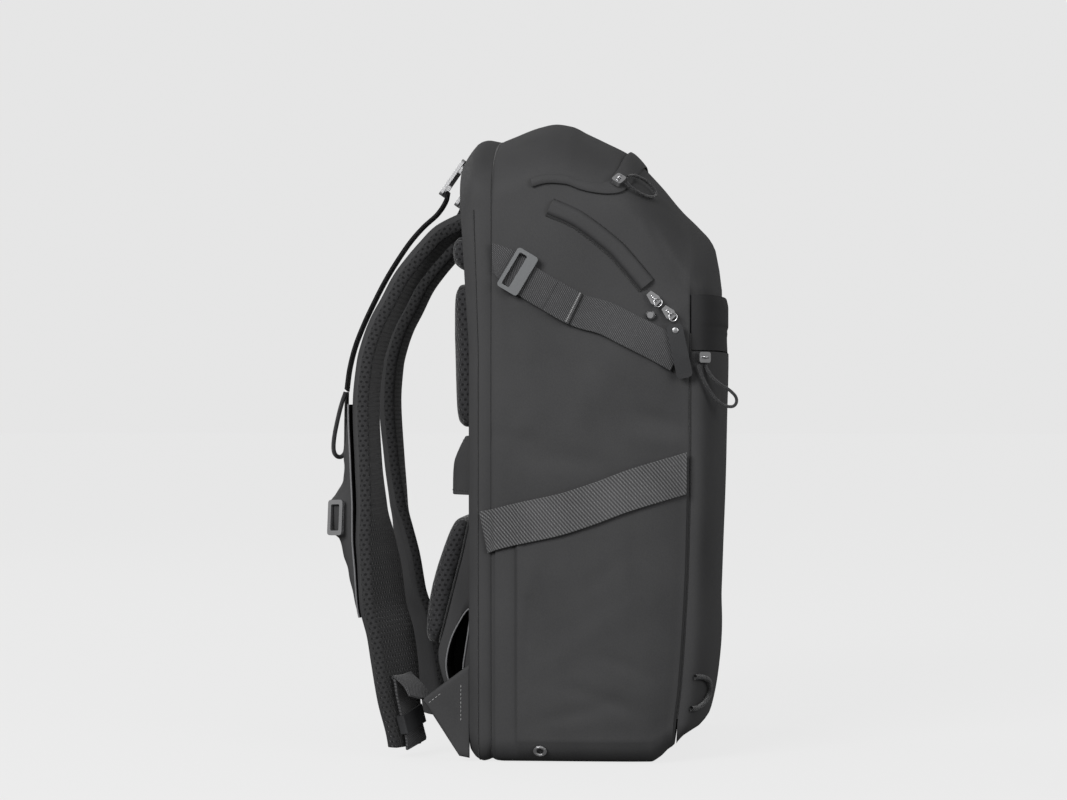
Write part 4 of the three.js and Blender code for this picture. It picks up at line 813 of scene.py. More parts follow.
def outline(row, inset=0.0):
    """One closed ring of the body, from the middle of the base round the left side and back."""
    half, top, foot = row[0] * HALF - inset, row[1] * TALL, row[2] * TALL + inset
    shoulder, radius = top - SHOULDER, FOOT - inset
    flat = np.linspace(0, 1, BASE_POINTS, endpoint=False) * (half - radius)
    turn = np.linspace(-math.pi / 2, 0, TURN_POINTS, endpoint=False)
    side = np.linspace(0, 1, SIDE_POINTS, endpoint=False)
    dome = np.linspace(0, math.pi / 2, DOME_POINTS)
    x = np.concatenate([flat, half - radius + radius * np.cos(turn),
                        half + BULGE * np.sin(math.pi * side),
                        half * np.abs(np.cos(dome)) ** (2 / DOME_POWER)])
    low = foot + radius
    z = np.concatenate([np.full(flat.shape, foot), low + radius * np.sin(turn),
                        low + (shoulder - low) * side,
                        shoulder + (SHOULDER - inset) * np.sin(dome) ** (2 / DOME_POWER)])
    x[-1] = 0
    left = np.stack([-x, z], axis=1)
    right = np.stack([x, z], axis=1)[1:-1][::-1]
    return np.vstack([left, right])


def main_shift(depth, z):
    """How far the body's front leans and slumps at a height."""
    grip = smooth_step((depth - GRIP_START) / (FRONT_SEAM - GRIP_START))
    slump = smooth_step((depth - FRONT_SEAM) / (FRONT_END - FRONT_SEAM))
    return (front_lean(z / TALL) * grip + front_slump(z / TALL) * slump)


def wall_half(row, z):
    """Half the width of one body section at a height."""
    half, shoulder, low = row[..., 0] * HALF, row[..., 1] * TALL - SHOULDER, row[..., 2] * TALL + FOOT
    dome = np.clip((z - shoulder) / SHOULDER, 0, 1)
    foot = np.clip((low - z) / FOOT, 0, 1)
    side = half + BULGE * np.sin(math.pi * np.clip((z - low) / (shoulder - low), 0, 1))
    return np.where(z > shoulder, half * (1 - dome**DOME_POWER) ** (1 / DOME_POWER),
                    np.where(z < low, half - FOOT + FOOT * np.sqrt(1 - foot**2), side))


def side_half(y, z):
    """Half the body's width at a place on its side wall."""
    y, z = np.broadcast_arrays(np.asarray(y, float), np.asarray(z, float))
    depth = (REAR_SEAM - y) / DEEP
    for _ in range(4):
        depth = (REAR_SEAM - y + main_shift(depth, z)) / DEEP
    rows = np.where((y > REAR_SEAM)[..., None], band_at((y - REAR_SEAM) / BAND_DEEP),
                    main_at(np.clip(depth, 0, FRONT_SEAM)))
    return wall_half(rows, z)


def left_wall(y, z, lift):
    return xyz(-(side_half(y, z) + lift), y, z)


left_folds = [
    (-66, 402, -86, 366, 4, -1.2), (-60, 404, -80, 368, 7, 0.8), (-84, 372, -96, 353, 3, -1.4),
    (-107, 374, -97, 350, 4, -2.0), (-104, 360, -94, 344, 3, 0.9), (-95, 340, -91, 322, 3, -1.0),
    (-72, 330, -92, 262, 8, -1.5), (-56, 246, -92, 240, 7, 1.2), (-50, 262, -93, 252, 7, -1.5),
    (-66, 320, -80, 280, 7, 1.1), (34, 232, -24, 226, 8, -1.4), (24, 330, -12, 262, 13, -1.5),
    (-30, 300, -62, 258, 12, -1.5), (-8, 250, -34, 300, 12, 1.2), (46, 404, 34, 296, 7, -0.9),
    (10, 420, -24, 398, 12, 0.9), (40, 240, 20, 262, 9, 0.9), (48, 246, 14, 240, 6, -1.0),
]
depths = np.concatenate([np.linspace(0, FRONT_SEAM, WALL_ROWS),
                         [0.838, 0.842, 0.862, 0.883, 0.9, 0.915, 0.93, 0.943, 0.96, FRONT_END]])
rings, inner_rings = [], []
for depth in depths:
    for inset, store in ((0.0, rings), (LINING, inner_rings)):
        ring = outline(main_at(depth), inset)
        y = REAR_SEAM - depth * DEEP + main_shift(depth, ring[:, 1])
        store.append(xyz(ring[:, 0], y, ring[:, 1]))
body_grid = np.array(rings)
body_x, body_y, body_z = (body_grid[..., k] for k in range(3))
body_x -= creases(body_y, body_z, left_folds) * smooth_step((-body_x - 104) / 22)
body_x += 0.6 * creases(body_y, body_z, left_folds[6:16]) * smooth_step((body_x - 104) / 22)
past_seam = (depths[:, None] - FRONT_SEAM) * DEEP
smooth_half = smooth_curve([(0.772, 0.976), (0.808, 0.969), (0.836, 0.962), (0.883, 0.925),
                            (0.915, 0.862), (0.943, 0.745), (0.960, 0.600), (0.971, 0.430)])
plain = smooth_half(np.clip(depths, 0.772, FRONT_END)) - main_at(depths)[..., 0]
step_fill = np.where(past_seam > 0, plain[:, None] * HALF, 0)
step_fill = step_fill * smooth_step((body_z - 348) / 10) * smooth_step((abs(body_x) - 70) / 50)
body_x += np.sign(body_x) * step_fill
lid = smooth_step((body_z - 400) / 40) * smooth_step((112 - abs(body_x)) / 30)
sag = np.sin(body_x / 31) * np.sin(body_y / 26 + 0.6)
body_z -= 1.1 * lid * (0.5 + 0.5 * sag)

# %% Close the body's shell


def cap_rings(ring, centre_z, shares):
    """Rings that close the front of the body towards its middle."""
    closing = []
    for share in shares:
        x = ring[:, 0] * share
        z = centre_z + (ring[:, 2] - centre_z) * share
        y = REAR_SEAM - FRONT_END * DEEP - 0.6 * (1 - share**2) + main_shift(FRONT_END, z)
        closing.append(xyz(x, y, z))
    return closing


outer_cap = cap_rings(rings[-1], 0.47 * TALL, (0.02, 0.2, 0.4, 0.6, 0.8))
inner_cap = cap_rings(inner_rings[-1] + [0, LINING, 0], 0.47 * TALL, (0.8, 0.4, 0.02))
for ring in inner_cap:
    ring[:, 1] += LINING
inner_wall = [inner_rings[i] + [0, LINING * smooth_step((depths[i] - 0.8) / 0.1), 0]
              for i in (*range(0, WALL_ROWS, 6), *range(WALL_ROWS, len(depths), 2))]
shell_grid = outer_cap + list(body_grid[::-1]) + inner_wall + inner_cap
body = loft("body_cloth", np.array(shell_grid), angle=60)
finish_piece(body, SHELL, "shell_fabric", "main_shell")
print("body:", len(body.data.polygons), "faces")

# %% [markdown]
# ## The rear band
# A separate gusset joins the body to the back panel. Its top leans over the back as a soft hump.
# It could be part of the body, but then the deep seam between them would be lost.

# %% Rear band and back panel


def band_ring(depth, row, inset=0.0):
    ring = outline(row, inset)
    y = REAR_SEAM + depth * BAND_DEEP + rear_lean(ring[:, 1] / TALL) * depth
    return xyz(ring[:, 0], y, ring[:, 1])


band_inside = np.array([0.925, 0.936, 0.022])
steps = np.concatenate([[0.024, 0.05, 0.1], np.linspace(0.2, 0.9, 10), [0.95, 0.985, 1.0]])
band_rings = [band_ring(d, band_at(d)) for d in steps]
for turn in (0.15, 0.35, 0.6, 0.85):
    band_rings.append(band_ring(1 + 0.05 * math.sin(math.pi * turn),
                                band_at(1.0) * (1 - turn) + band_inside * turn))
band_rings += [band_ring(d, band_inside) for d in (1.0, 0.7, 0.35, 0.03)]
band_grid = np.array(band_rings)
hump = smooth_step((band_grid[..., 2] - 380) / 60)
band_grid[..., 0] *= 1 - 0.004 * hump * np.sin(band_grid[..., 2] / 9)
band_grid = closed_line(band_grid)
rear_band = loft("rear_band_cloth", band_grid, caps=False, angle=60)
finish_piece(rear_band, SHELL, "shell_fabric", "rear_band")

PANEL_FACE, PANEL_THICK = BACK_FACE - 3.0, 6.0


def panel_y(z, lift=0.0):
    return PANEL_FACE + rear_lean(z / TALL) * (PANEL_FACE - REAR_SEAM) / BAND_DEEP + lift


left_end = BASE_POINTS + TURN_POINTS + SIDE_POINTS + DOME_POINTS - 2
left_side = outline(band_inside)[BASE_POINTS:left_end]
inside_half = smooth_curve([(z, abs(x)) for x, z in left_side if x < -1])
panel_low, panel_high = 0.022 * TALL + 0.5, 0.924 * TALL - 0.5
heights = panel_low + (panel_high - panel_low) * (0.5 - 0.5 * np.cos(np.linspace(0, math.pi, 90)))
shares = np.sin(np.linspace(-math.pi / 2, math.pi / 2, 61))
Z, S = np.meshgrid(heights, shares, indexing="ij")
half = np.minimum(inside_half(Z - 0.4), inside_half(Z + 0.4)) - 0.6
edge = np.minimum((1 - abs(S)) * half, np.minimum(Z - panel_low, panel_high - Z))
panel_grid = xyz(S * half, panel_y(Z) - 2.2 * np.exp(-edge / 3.5), Z)
panel_back = panel_grid - sheet_normals(panel_grid, (0, 1, 0)) * (PANEL_THICK - 2)
back_panel = cloth_sheet("back_panel_cloth", panel_grid, panel_back, SHELL_DARK, "panel_fabric",
                         "back_panel", 0.5, 40)
seam_ring = band_ring(0.0, band_at(0.0), 0.35)
rope("rear_seam", closed_line(seam_ring), 1.4, SEAM, "shell_fabric", closed=True)
fine_ring = band_ring(0.58, band_at(0.58), -0.1)
fine_ring = fine_ring[(fine_ring[:, 2] < 416) & (abs(fine_ring[:, 0]) > 60)]
for word, line in (("left", fine_ring[fine_ring[:, 0] < 0]), ("right", fine_ring[fine_ring[:, 0] > 0])):
    rope("band_seam_" + word, line, 0.9, SEAM, "shell_fabric")
print("rear band:", len(rear_band.data.polygons), "back panel:", len(back_panel.data.polygons))

# %% [markdown]
# ## The crowned front
# The lower front carries a thin pocket, closed by a zip under a raised band. Both are cloth over
# a soft crown, so they are drawn as sheets that round off at the sides.

# %% Front pocket and front band
CROWN, YOKE, CROWN_POWER = 28.0, 27.6, 2.6
pocket_out = smooth_curve([
    (0.0290, 0.03), (0.0418, 0.36), (0.0504, 0.71), (0.0652, 0.89), (0.0979, 0.954),
    (0.1651, 0.990), (0.2956, 0.900), (0.4100, 0.925), (0.5219, 0.960), (0.6200, 1.000),
    (0.6290, 1.000),
])
band_out = smooth_curve([
    (0.6310, 0.985), (0.6560, 0.970), (0.6690, 1.010), (0.7030, 1.010), (0.7160, 0.965),
])
seam_row = main_at(FRONT_SEAM)


def front_point(turn, z, out, inset=0.0):
    side = np.abs(np.sin(turn)) ** (2 / CROWN_POWER) * np.sign(turn)
    rim = REAR_SEAM - 0.8405 * DEEP + front_lean(z / TALL) - 0.4
    y = rim - out * np.abs(np.cos(turn)) ** (2 / CROWN_POWER)
    return xyz((wall_half(seam_row, z) - inset) * side, y, z)


turns = np.sin(np.linspace(-math.pi / 2, math.pi / 2, 121)) * (math.pi / 2 - 0.001)
Z, T = np.meshgrid(np.linspace(0.029, 0.629, 110) * TALL, turns, indexing="ij")
out = pocket_out(Z / TALL) * CROWN
folds = creases(T * 100, Z, [
    (-140, 150, -70, 170, 9, -0.8), (-150, 245, -95, 205, 9, -0.9), (140, 150, 70, 170, 9, -0.8),
    (150, 240, 95, 205, 9, -0.9), (-60, 60, -20, 52, 8, -0.6), (30, 64, 70, 54, 8, -0.6),
    (-120, 290, -60, 268, 8, -0.5), (120, 290, 60, 268, 8, -0.5), (-40, 120, 50, 112, 14, -0.6),
])
front_grid = front_point(T, Z, np.maximum(out + folds * np.clip(out / 10, 0, 1), 0.2))
front_back = front_point(T, Z, np.maximum(out - 2, 0), 2.0)
front_pocket = cloth_sheet("front_pocket_cloth", front_grid, front_back, SHELL, "shell_fabric",
                           "front_pocket")

lash_places = [(77, 0.1330), (70, 0.1330), (60, 0.1290), (52, 0.1210), (49, 0.1090),
               (52, 0.0970), (60, 0.0890), (70, 0.0850), (77, 0.0850)]
LASH_LIFT = 2.9
for side, word in SIDES:
    route = []
    for turn, height in lash_places:
        out = pocket_out(height) * CROWN + LASH_LIFT
        route.append(front_point(side * math.radians(turn), height * TALL, out, -LASH_LIFT))
    cord_loop("lash_cord_" + word, np.array(route).reshape(-1, 3), 4.0, "lash_loop_" + word)

Z, T = np.meshgrid(np.linspace(0.631, 0.716, 34) * TALL, turns, indexing="ij")
lip = creases(np.zeros_like(T), Z, [(-1, 0.667 * TALL, 1, 0.667 * TALL, 1.8, -0.9)])
band_face = front_point(T, Z, band_out(Z / TALL) * YOKE + lip)
cloth_sheet("front_band_cloth", band_face, front_point(T, Z, 0.9 * YOKE + 0 * Z, 2.0), SHELL_DARK,
            "panel_fabric", "front_band", 0.6)
for side, word in SIDES:
    z = np.linspace(34, 322, 90)
    y = REAR_SEAM - 0.8385 * DEEP + front_lean(z / TALL)
    line = xyz(side * (wall_half(seam_row, z) - 0.7), y, z)
    rope("front_seam_" + word, line, 2.0, SEAM, "shell_fabric")
print("front pocket:", len(front_pocket.data.polygons))

# %% [markdown]
# ## Flaps and webbing on the left side
# Each strip follows a route on the side wall: the welt over the side zip, the compression strap
# and the flap of the lid. A strip is a ribbon of cloth laid 0.9 mm over the wall.

# %% Strips on the wall
SEAT, STRIP_SEAT, WEB_THICK = 0.4, 0.9, 2.5
STRAP_START, STRAP_SPAN = 0.014, 0.776


def depth_y(depth):
    return REAR_SEAM - depth * DEEP


def strap_share(depth):
    """How far along the compression strap a depth lies."""
    return (depth - STRAP_START) / STRAP_SPAN


def wall_strip(route, width, low, high, columns=13, share=(0, 1), crown=0.0):
    """A ribbon on the left wall along a route of (y, z) points."""
    line = smooth_route([(0, y, z) for y, z in route], 400)
    length = np.linspace(share[0], share[1], 121) * 400
    at = [np.interp(length, np.arange(401), line[:, k]) for k in (1, 2)]
    way = np.stack([np.gradient(at[0]), np.gradient(at[1])], axis=1)
    way /= np.linalg.norm(way, axis=1, keepdims=True)
    a = np.linspace(-0.5, 0.5, columns)
    y = at[0][:, None] - way[:, 1:] * a * width
    z = at[1][:, None] + way[:, :1] * a * width
    lift = high + crown * (1 - (2 * a) ** 4) * np.ones_like(y)
    return left_wall(y, z, lift), left_wall(y, z, low + 0 * y)


zip_flap_route = [(depth_y(d), h * TALL) for d, h in (
    (0.250, 0.850), (0.372, 0.829), (0.510, 0.7912), (0.574, 0.767), (0.660, 0.730))]
strap_route = [(depth_y(d), h * TALL) for d, h in (
    (0.014, 0.772), (0.081, 0.758), (0.163, 0.734), (0.262, 0.7125), (0.372, 0.691),
    (0.484, 0.679), (0.586, 0.6605), (0.698, 0.64), (0.79, 0.6215))]

face, under = wall_strip(zip_flap_route, 12, STRIP_SEAT, STRIP_SEAT + 0.6, 25, crown=2.4)
cloth_sheet("zip_flap_cloth", face, under, SHELL, "shell_fabric", "side_zip_flap", 0.4)
# The wider dark cord lies in the gap beside the welt. It is partly the dark zip track and partly
# painted shadow in that gap. The thin one is the seam.
for name, width, diameter in (("side_zip_gap_shadow", 13.4, 3.0), ("side_zip_seam", -12.8, 1.1)):
    edge_face, _ = wall_strip(zip_flap_route, abs(width), 0, 0.15, 3)
    line = edge_face[:, 2 if width > 0 else 0]
    rope(name, line, diameter, SEAM, "shell_fabric")

strap_top = STRIP_SEAT + WEB_THICK
split_share = strap_share(0.150)
for name, share, low, high in (
    ("upper_strap_rear", (0, split_share - 0.006), STRIP_SEAT, strap_top),
    ("upper_strap", (split_share, 1), STRIP_SEAT, strap_top),
    ("upper_strap_fold", (strap_share(0.272), strap_share(0.372)), strap_top + SEAT,
     strap_top + SEAT + 2.0),
):
    face, under = wall_strip(strap_route, 25, low, high, share=share, crown=0.2)
    if name == "upper_strap_rear":
        grow = np.linspace(1, 0, len(face))[:, None] ** 3
        for sheet in (face, under):
            sheet[..., 1] += (REAR_SEAM - 1.2 - sheet[0, :, 1]) * grow
    cloth_sheet(name + "_webbing", face, under, WEBBING, "webbing", name, 0.5)
    if name == "upper_strap_fold":
        for number, row in enumerate((-14, -11)):
            line = face[row] + [-0.15, 0, 0]
            stitches(f"fold_bar_tack_{number}", line, 1.1, 0.25, 0.7, THREAD, "webbing")

# %% The flap of the lid
flap_rows = [(4, 0.17), (5, 0.29), (8, 0.411), (16, 0.512), (30, 0.558), (45, 0.58), (68, 0.60),
             (90, 0.603)]
DEGREE = SHOULDER / 30


def dome_point(depth, angle, side, lift):
    row = main_at(depth)
    turn = np.radians(angle)
    x = (row[..., 0] * HALF + lift) * np.abs(np.cos(turn)) ** (2 / DOME_POWER)
    z = row[..., 1] * TALL - SHOULDER + (SHOULDER + lift) * np.abs(np.sin(turn)) ** (2 / DOME_POWER)
    return xyz(side * x, depth_y(depth), z)


flap_line = [((a - 90) * DEGREE, d * DEEP, 0) for a, d in flap_rows]
flap_line += [((90 - a) * DEGREE, d * DEEP, 0) for a, d in flap_rows[-2::-1]]
line = smooth_route(flap_line, 240)
way = np.gradient(line, axis=0)
way /= np.linalg.norm(way, axis=1, keepdims=True)
a = np.linspace(-0.5, 0.5, 11)
along = line[:, :1] - way[:, 1:2] * a * 12
depth = (line[:, 1:2] + way[:, :1] * a * 12) / DEEP
side = np.where(along < 0, -1, 1)
lift = STRIP_SEAT + SEAT + 1.0 + 1.1 * (1 - (2 * a) ** 2)
flap_face = dome_point(depth, 90 - abs(along) / DEGREE, side, lift + 0 * depth)
flap_under = dome_point(depth, 90 - abs(along) / DEGREE, side, STRIP_SEAT + SEAT + 0 * depth)
cloth_sheet("lid_flap_cloth", flap_face, flap_under, SHELL, "shell_fabric", "lid_flap", 0.4)

# %% [markdown]
# ## The side pocket
# A low pocket with a bellows fold at its rear carries a bottle or a long thing. Its cloth is slack,
# so it creases across its front corner. A 30 mm band of webbing is sewn over its hem.

# %% Side pocket and its band
POCKET_DEEP, BAND_HALF, HEM_DROP = 8.0, 15 / math.cos(math.radians(16.5)), 3.0
band_line = smooth_curve([(-0.03, 0.353), (0.103, 0.366), (0.29, 0.381), (0.44, 0.3985),
                          (0.585, 0.418), (0.828, 0.444)])
pocket_wide = smooth_curve([
    (0.020, 0.05), (0.053, 0.18), (0.098, 0.30), (0.118, 0.78), (0.175, 0.92), (0.243, 1.0),
    (0.310, 1.0), (0.378, 1.0), (0.457, 0.98), (0.563, 1.0), (0.620, 0.92), (0.670, 0.82),
    (0.716, 0.68), (0.772, 0.38), (0.808, 0.14), (0.826, 0.05),
])
pocket_tall = smooth_curve([(-1.0, 0.05), (-0.577, 0.30), (0.0, 0.64), (0.09, 0.88), (0.2, 1.0),
                            (0.46, 1.0), (0.74, 1.0), (0.88, 0.96), (1.0, 0.92)])


def lean_y(depth, z):
    grip = smooth_step((depth - GRIP_START) / (FRONT_SEAM - GRIP_START))
    return depth_y(depth) + front_lean(z / TALL) * grip


def band_middle(y):
    return band_line((REAR_SEAM - y) / DEEP) * TALL


def pocket_hem(depth):
    z = 200 + 0 * depth
    for _ in range(6):
        z = band_middle(lean_y(depth, z)) + BAND_HALF - HEM_DROP
    return z


hem_folds = [(26, 196, 62, 60, 9, -1.3), (64, 190, 100, 50, 10, 1.2), (98, 196, 118, 84, 8, -1.1)]


def pocket_rise(depth, up):
    """How far the pocket stands off the wall. up: -1 at the base, 0 at the foot, 1 at the hem."""
    folds = creases(depth * DEEP, np.maximum(up, -0.3) * 200, hem_folds + [
        (30, 14, 96, 30, 7, -1.0), (58, 44, 116, 20, 6, -0.9), (84, 66, 128, 44, 6, -0.8),
        (36, 60, 92, 96, 10, 0.8), (22, 100, 40, 180, 8, 0.7), (104, 100, 126, 60, 6, 0.7),
        (70, 120, 96, 136, 8, -0.7), (24, 30, 30, 120, 4, -0.6),
    ])
    rise = pocket_wide(depth) * pocket_tall(up) * (POCKET_DEEP + folds)
    return np.maximum(rise, 0.05)


def pocket_place(depth, up, lift):
    foot = main_at(depth)[..., 2] * TALL
    hem = pocket_hem(depth)
    arc = np.clip(up, -1, 0)
    low = foot + FOOT * (1 + arc * 0.866)
    z = np.where(up < 0, low, foot + FOOT + (hem - foot - FOOT) * np.clip(up, 0, 1))
    return left_wall(lean_y(depth, z), z, SEAT + pocket_rise(depth, up) + lift)


columns = np.concatenate([np.linspace(0.02, 0.096, 14), np.linspace(0.099, 0.12, 8),
                          np.linspace(0.126, 0.826, 96)])
ups = np.concatenate([np.linspace(-1, 0, 12, endpoint=False), np.linspace(0, 1, 84)])
D, U = np.meshgrid(columns, ups, indexing="ij")
pocket_grid = pocket_place(D, U, 2.0)
side_pocket = cloth_sheet("side_pocket_cloth", pocket_grid, pocket_place(D, U, 0.0), SHELL,
                          "shell_fabric", "side_pocket")

edges = np.concatenate([np.linspace(-0.03, 0.015, 10), np.linspace(0.02, 0.826, 110)])
spans = np.linspace(-1, 1, 15)
D, A = np.meshgrid(edges, spans, indexing="ij")
top = np.where(D < 0.02, 0, pocket_hem(np.maximum(D, 0.02)))
y_mid = np.where(D < 0.02, depth_y(D), lean_y(np.maximum(D, 0.02), top))
z = band_middle(y_mid) + A * BAND_HALF
slant = np.clip(1 - (D + 0.03) / 0.05, 0, 1) * (A * 3.2)
up = np.clip((z - FOOT) / np.maximum(top - FOOT, 1), 0, 1)
wide = pocket_wide(np.maximum(D, 0.02)) * (POCKET_DEEP + creases(D * DEEP, up * 200, hem_folds))
rise = np.where(D < 0.02, np.where(D < 0.0, 0, 2.4), SEAT + wide + 2.0)
rise = np.stack([np.convolve(np.pad(rise[:, j], 3, mode="edge"), np.ones(7) / 7, mode="valid")
                 for j in range(rise.shape[1])], axis=1)
y = np.where(D < 0.02, depth_y(D) + slant, lean_y(np.maximum(D, 0.02), z))
lift = rise + STRIP_SEAT
cloth_sheet("side_band_webbing", left_wall(y, z, lift + WEB_THICK), left_wall(y, z, lift),
            WEBBING_BAND, "webbing", "side_band", 0.5)
print("side pocket:", len(side_pocket.data.polygons))

# %% [markdown]
# ## The shoulder straps
# Each strap is a padded strip with smooth cloth on its outer face and open mesh on its edges and
# inner face. It is swept along its outer edge line, with the width and turn of each height.

# %% Strap frames
STRAP_REACH, STRAP_THICK, STRAP_CROWN = 92.5, 12.0, 2.5
strap_rows = [
    (0.8500, 0.072, 0.643, 0.410, 0, 0.90), (0.8440, 0.157, 0.643, 0.420, 0, 1.00),
    (0.8257, 0.341, 0.650, 0.430, 1, 1.00), (0.8030, 0.459, 0.657, 0.437, 1, 1.00),
    (0.7790, 0.568, 0.664, 0.444, 1, 1.00), (0.7510, 0.676, 0.678, 0.448, 1, 1.00),
    (0.7135, 0.778, 0.699, 0.452, 1, 1.00), (0.6810, 0.868, 0.713, 0.456, 1, 1.00),
    (0.6480, 0.931, 0.727, 0.460, 1, 1.00), (0.6157, 0.972, 0.741, 0.462, 1, 1.00),
    (0.5505, 1.000, 0.769, 0.462, 1, 1.00), (0.4526, 0.973, 0.818, 0.462, 2, 0.95),
    (0.3830, 0.957, 0.846, 0.462, 5, 0.95), (0.3420, 0.962, 0.860, 0.462, 11, 0.95),
    (0.2940, 0.946, 0.874, 0.462, 15, 0.95), (0.2340, 0.924, 0.888, 0.448, 18, 0.95),
    (0.1890, 0.865, 0.895, 0.434, 20, 0.92), (0.1500, 0.832, 0.895, 0.410, 22, 0.90),
    (0.0897, 0.778, 0.888, 0.350, 25, 0.80), (0.0340, 0.707, 0.860, 0.270, 27, 0.75),
    (0.0180, 0.695, 0.846, 0.240, 28, 0.70),
]
strap_at = smooth_table(strap_rows)


def strap_frame(height, side):
    """Place, across, outward, width and thickness of a strap at a height, as a share."""
    width, turn, thick = strap_at(height)[2:]

    def place(h):
        row = strap_at(h)
        return np.array([side * row[1] * HALF, BACK_FACE + row[0] * STRAP_REACH,
                         np.clip(h, 0.018, 0.85) * TALL])

    way = place(max(height, 0.018) - 0.004) - place(min(height, 0.85) + 0.004)
    way /= np.linalg.norm(way)
    turn = math.radians(turn)
    across = np.array([-side * math.cos(turn), -math.sin(turn), 0])
    outward = np.cross(across, way)
    outward /= np.linalg.norm(outward)
    if outward[1] < 0:
        outward = -outward
    return place(height), across, outward, width * HALF, thick * STRAP_THICK


def strap_section():
    """The strap's cross section: across share, out share and crown share."""
    corners = smooth_route([
        (0.0, -0.5, 0), (0.012, -0.14, 0), (0.05, 0.0, 0.1), (0.27, 0.0, 0.8), (0.50, 0.0, 1.0),
        (0.73, 0.0, 0.8), (0.95, 0.0, 0.1), (0.988, -0.14, 0), (1.0, -0.5, 0),
        (0.988, -0.86, 0), (0.95, -1.0, 0), (0.66, -1.0, -0.4), (0.34, -1.0, -0.4),
        (0.05, -1.0, 0), (0.012, -0.86, 0), (0.0, -0.5, 0),
    ], 500)
    share = np.linspace(0, 1, 64, endpoint=False)
    run = run_length(corners * [60, 12, 1])
    return along_line(corners, run / run[-1], share)


section = strap_section()


def strap_point(frame_here, across, out):
    place, across_way, outward = frame_here[:3]
    return place + across_way * across + outward * out


for side, word in SIDES:
    strap_rings = []
    levels = np.concatenate([np.linspace(0.85, 0.8, 26), np.linspace(0.797, 0.018, 150)])
    for height in levels:
        here = strap_frame(height, side)
        pinch = 1 - 0.35 * np.exp(-((height - 0.85) / 0.004) ** 2)
        strap_rings.append([
            strap_point(here, a * here[3], (o * here[4] + c * STRAP_CROWN) * pinch)
            for a, o, c in section])
    strap = loft("strap_padding_" + word, np.array(strap_rings), angle=50)
    strap.data.materials.append(STRAP_FACE)
    strap.data.materials.append(SPACER_MESH)
    count = len(section)
    face_columns = {j for j in range(count) if section[j][1] > -0.45 and
                    section[(j + 1) % count][1] > -0.45}
    zones = [0 if i % count in face_columns else 1 for i in range((len(levels) - 1) * count)]
    zones += [1] * (len(strap.data.polygons) - len(zones))
    strap.data.polygons.foreach_set("material_index", zones)
    finish_piece(strap, None, "shell_fabric", "shoulder_strap_" + word)
print("strap:", len(strap.data.polygons), "faces")

# %% [markdown]
# ## What lies on the left strap
# A stretch pocket on the left strap swells to a peak, where a rounded metal clip is sewn in.
# Light piping binds its edge. The pocket is lofted through rings along the strap.

# %% Strap pocket
STRAP_MARGIN = 7.0
pocket_swell = smooth_curve([
    (0.5480, 0.36), (0.5100, 0.62), (0.4680, 0.92), (0.4320, 1.02), (0.4120, 1.62),
    (0.3930, 2.15), (0.3700, 2.20), (0.3470, 2.00), (0.3400, 1.62), (0.3080, 1.30),
    (0.2660, 0.95), (0.2200, 0.50),
])
rings, piping_line = [], []
for height in np.linspace(0.548, 0.220, 110):
    here = strap_frame(height, -1)
    low = STRAP_CROWN + STRIP_SEAT + SEAT
    high = max(low + 1.6, float(pocket_swell(height)) * STRAP_THICK)
    start, end = STRAP_MARGIN, here[3] - STRAP_MARGIN
    arch = np.linspace(0, math.pi, 34)
    middle, reach = (start + end) / 2, (end - start) / 2
    across = middle - reach * np.sign(np.cos(arch)) * np.abs(np.cos(arch)) ** 0.55
    wrinkle = 0.5 * np.sin(height * 160 + across / 9) * np.sin(arch)
    out = low + (high - low + wrinkle) * np.sin(arch) ** 0.7
    ring = [strap_point(here, a, o) for a, o in zip(across, out)]
    ring += [strap_point(here, a, low) for a in np.linspace(end - 2, start + 2, 10)]
    rings.append(ring)
    piping_line.append(strap_point(here, start - 0.2, low + 0.5))
strap_pocket = loft("strap_pocket_cloth", np.array(rings), angle=50)
finish_piece(strap_pocket, SHELL, "shell_fabric", "strap_pocket")
rope("strap_pocket_piping", smooth_route(piping_line, 90), 1.5, PIPING, "shell_fabric")

# %% [markdown]
# ## Lifters, lower webbing and wings
# Two plies of thin webbing run from each lifter buckle down the strap. At the foot a wing of cloth
# is sewn to the body, and webbing joins it to the strap's end through a plastic keeper.

# %% Ribbons


def ribbon(name, middles, acrosses, width, thickness, material, steps, offset=0.0):
    """A flat ribbon of webbing along points, each with the direction of its width."""
    line = smooth_route(middles, steps)
    spots = np.linspace(0, len(middles) - 1, steps + 1)
    across = np.stack([np.interp(spots, np.arange(len(middles)), np.array(acrosses)[:, k])
                       for k in range(3)], axis=1)
    way = np.gradient(line, axis=0)
    way /= np.linalg.norm(way, axis=1, keepdims=True)
    across -= way * (across * way).sum(axis=1, keepdims=True)
    across /= np.linalg.norm(across, axis=1, keepdims=True)
    out = np.cross(way, across)
    if out[:, 1].mean() < 0:
        out = -out
    a = np.linspace(-0.5, 0.5, 11)
    middle = line[:, None] + across[:, None] * (a * width)[None, :, None]
    face = middle + out[:, None] * (offset + thickness / 2)
    under = middle + out[:, None] * (offset - thickness / 2)
    piece = loft(name, face, closed=False, back=under, angle=50)
    soften(piece, min(0.3, thickness / 4))
    piece.data.materials.append(material)
    return piece


def carry_point(side, reach, spread, height):
    return np.array([side * spread * HALF, BACK_FACE + reach * STRAP_REACH, height * TALL])


def joined(name, *pieces):
    """Several meshes as one piece."""
    clear_selection()
    for piece in pieces:
        piece.select_set(True)
    bpy.context.view_layer.objects.active = pieces[0]
    bpy.ops.object.join()
    pieces[0].name = name
    return pieces[0]


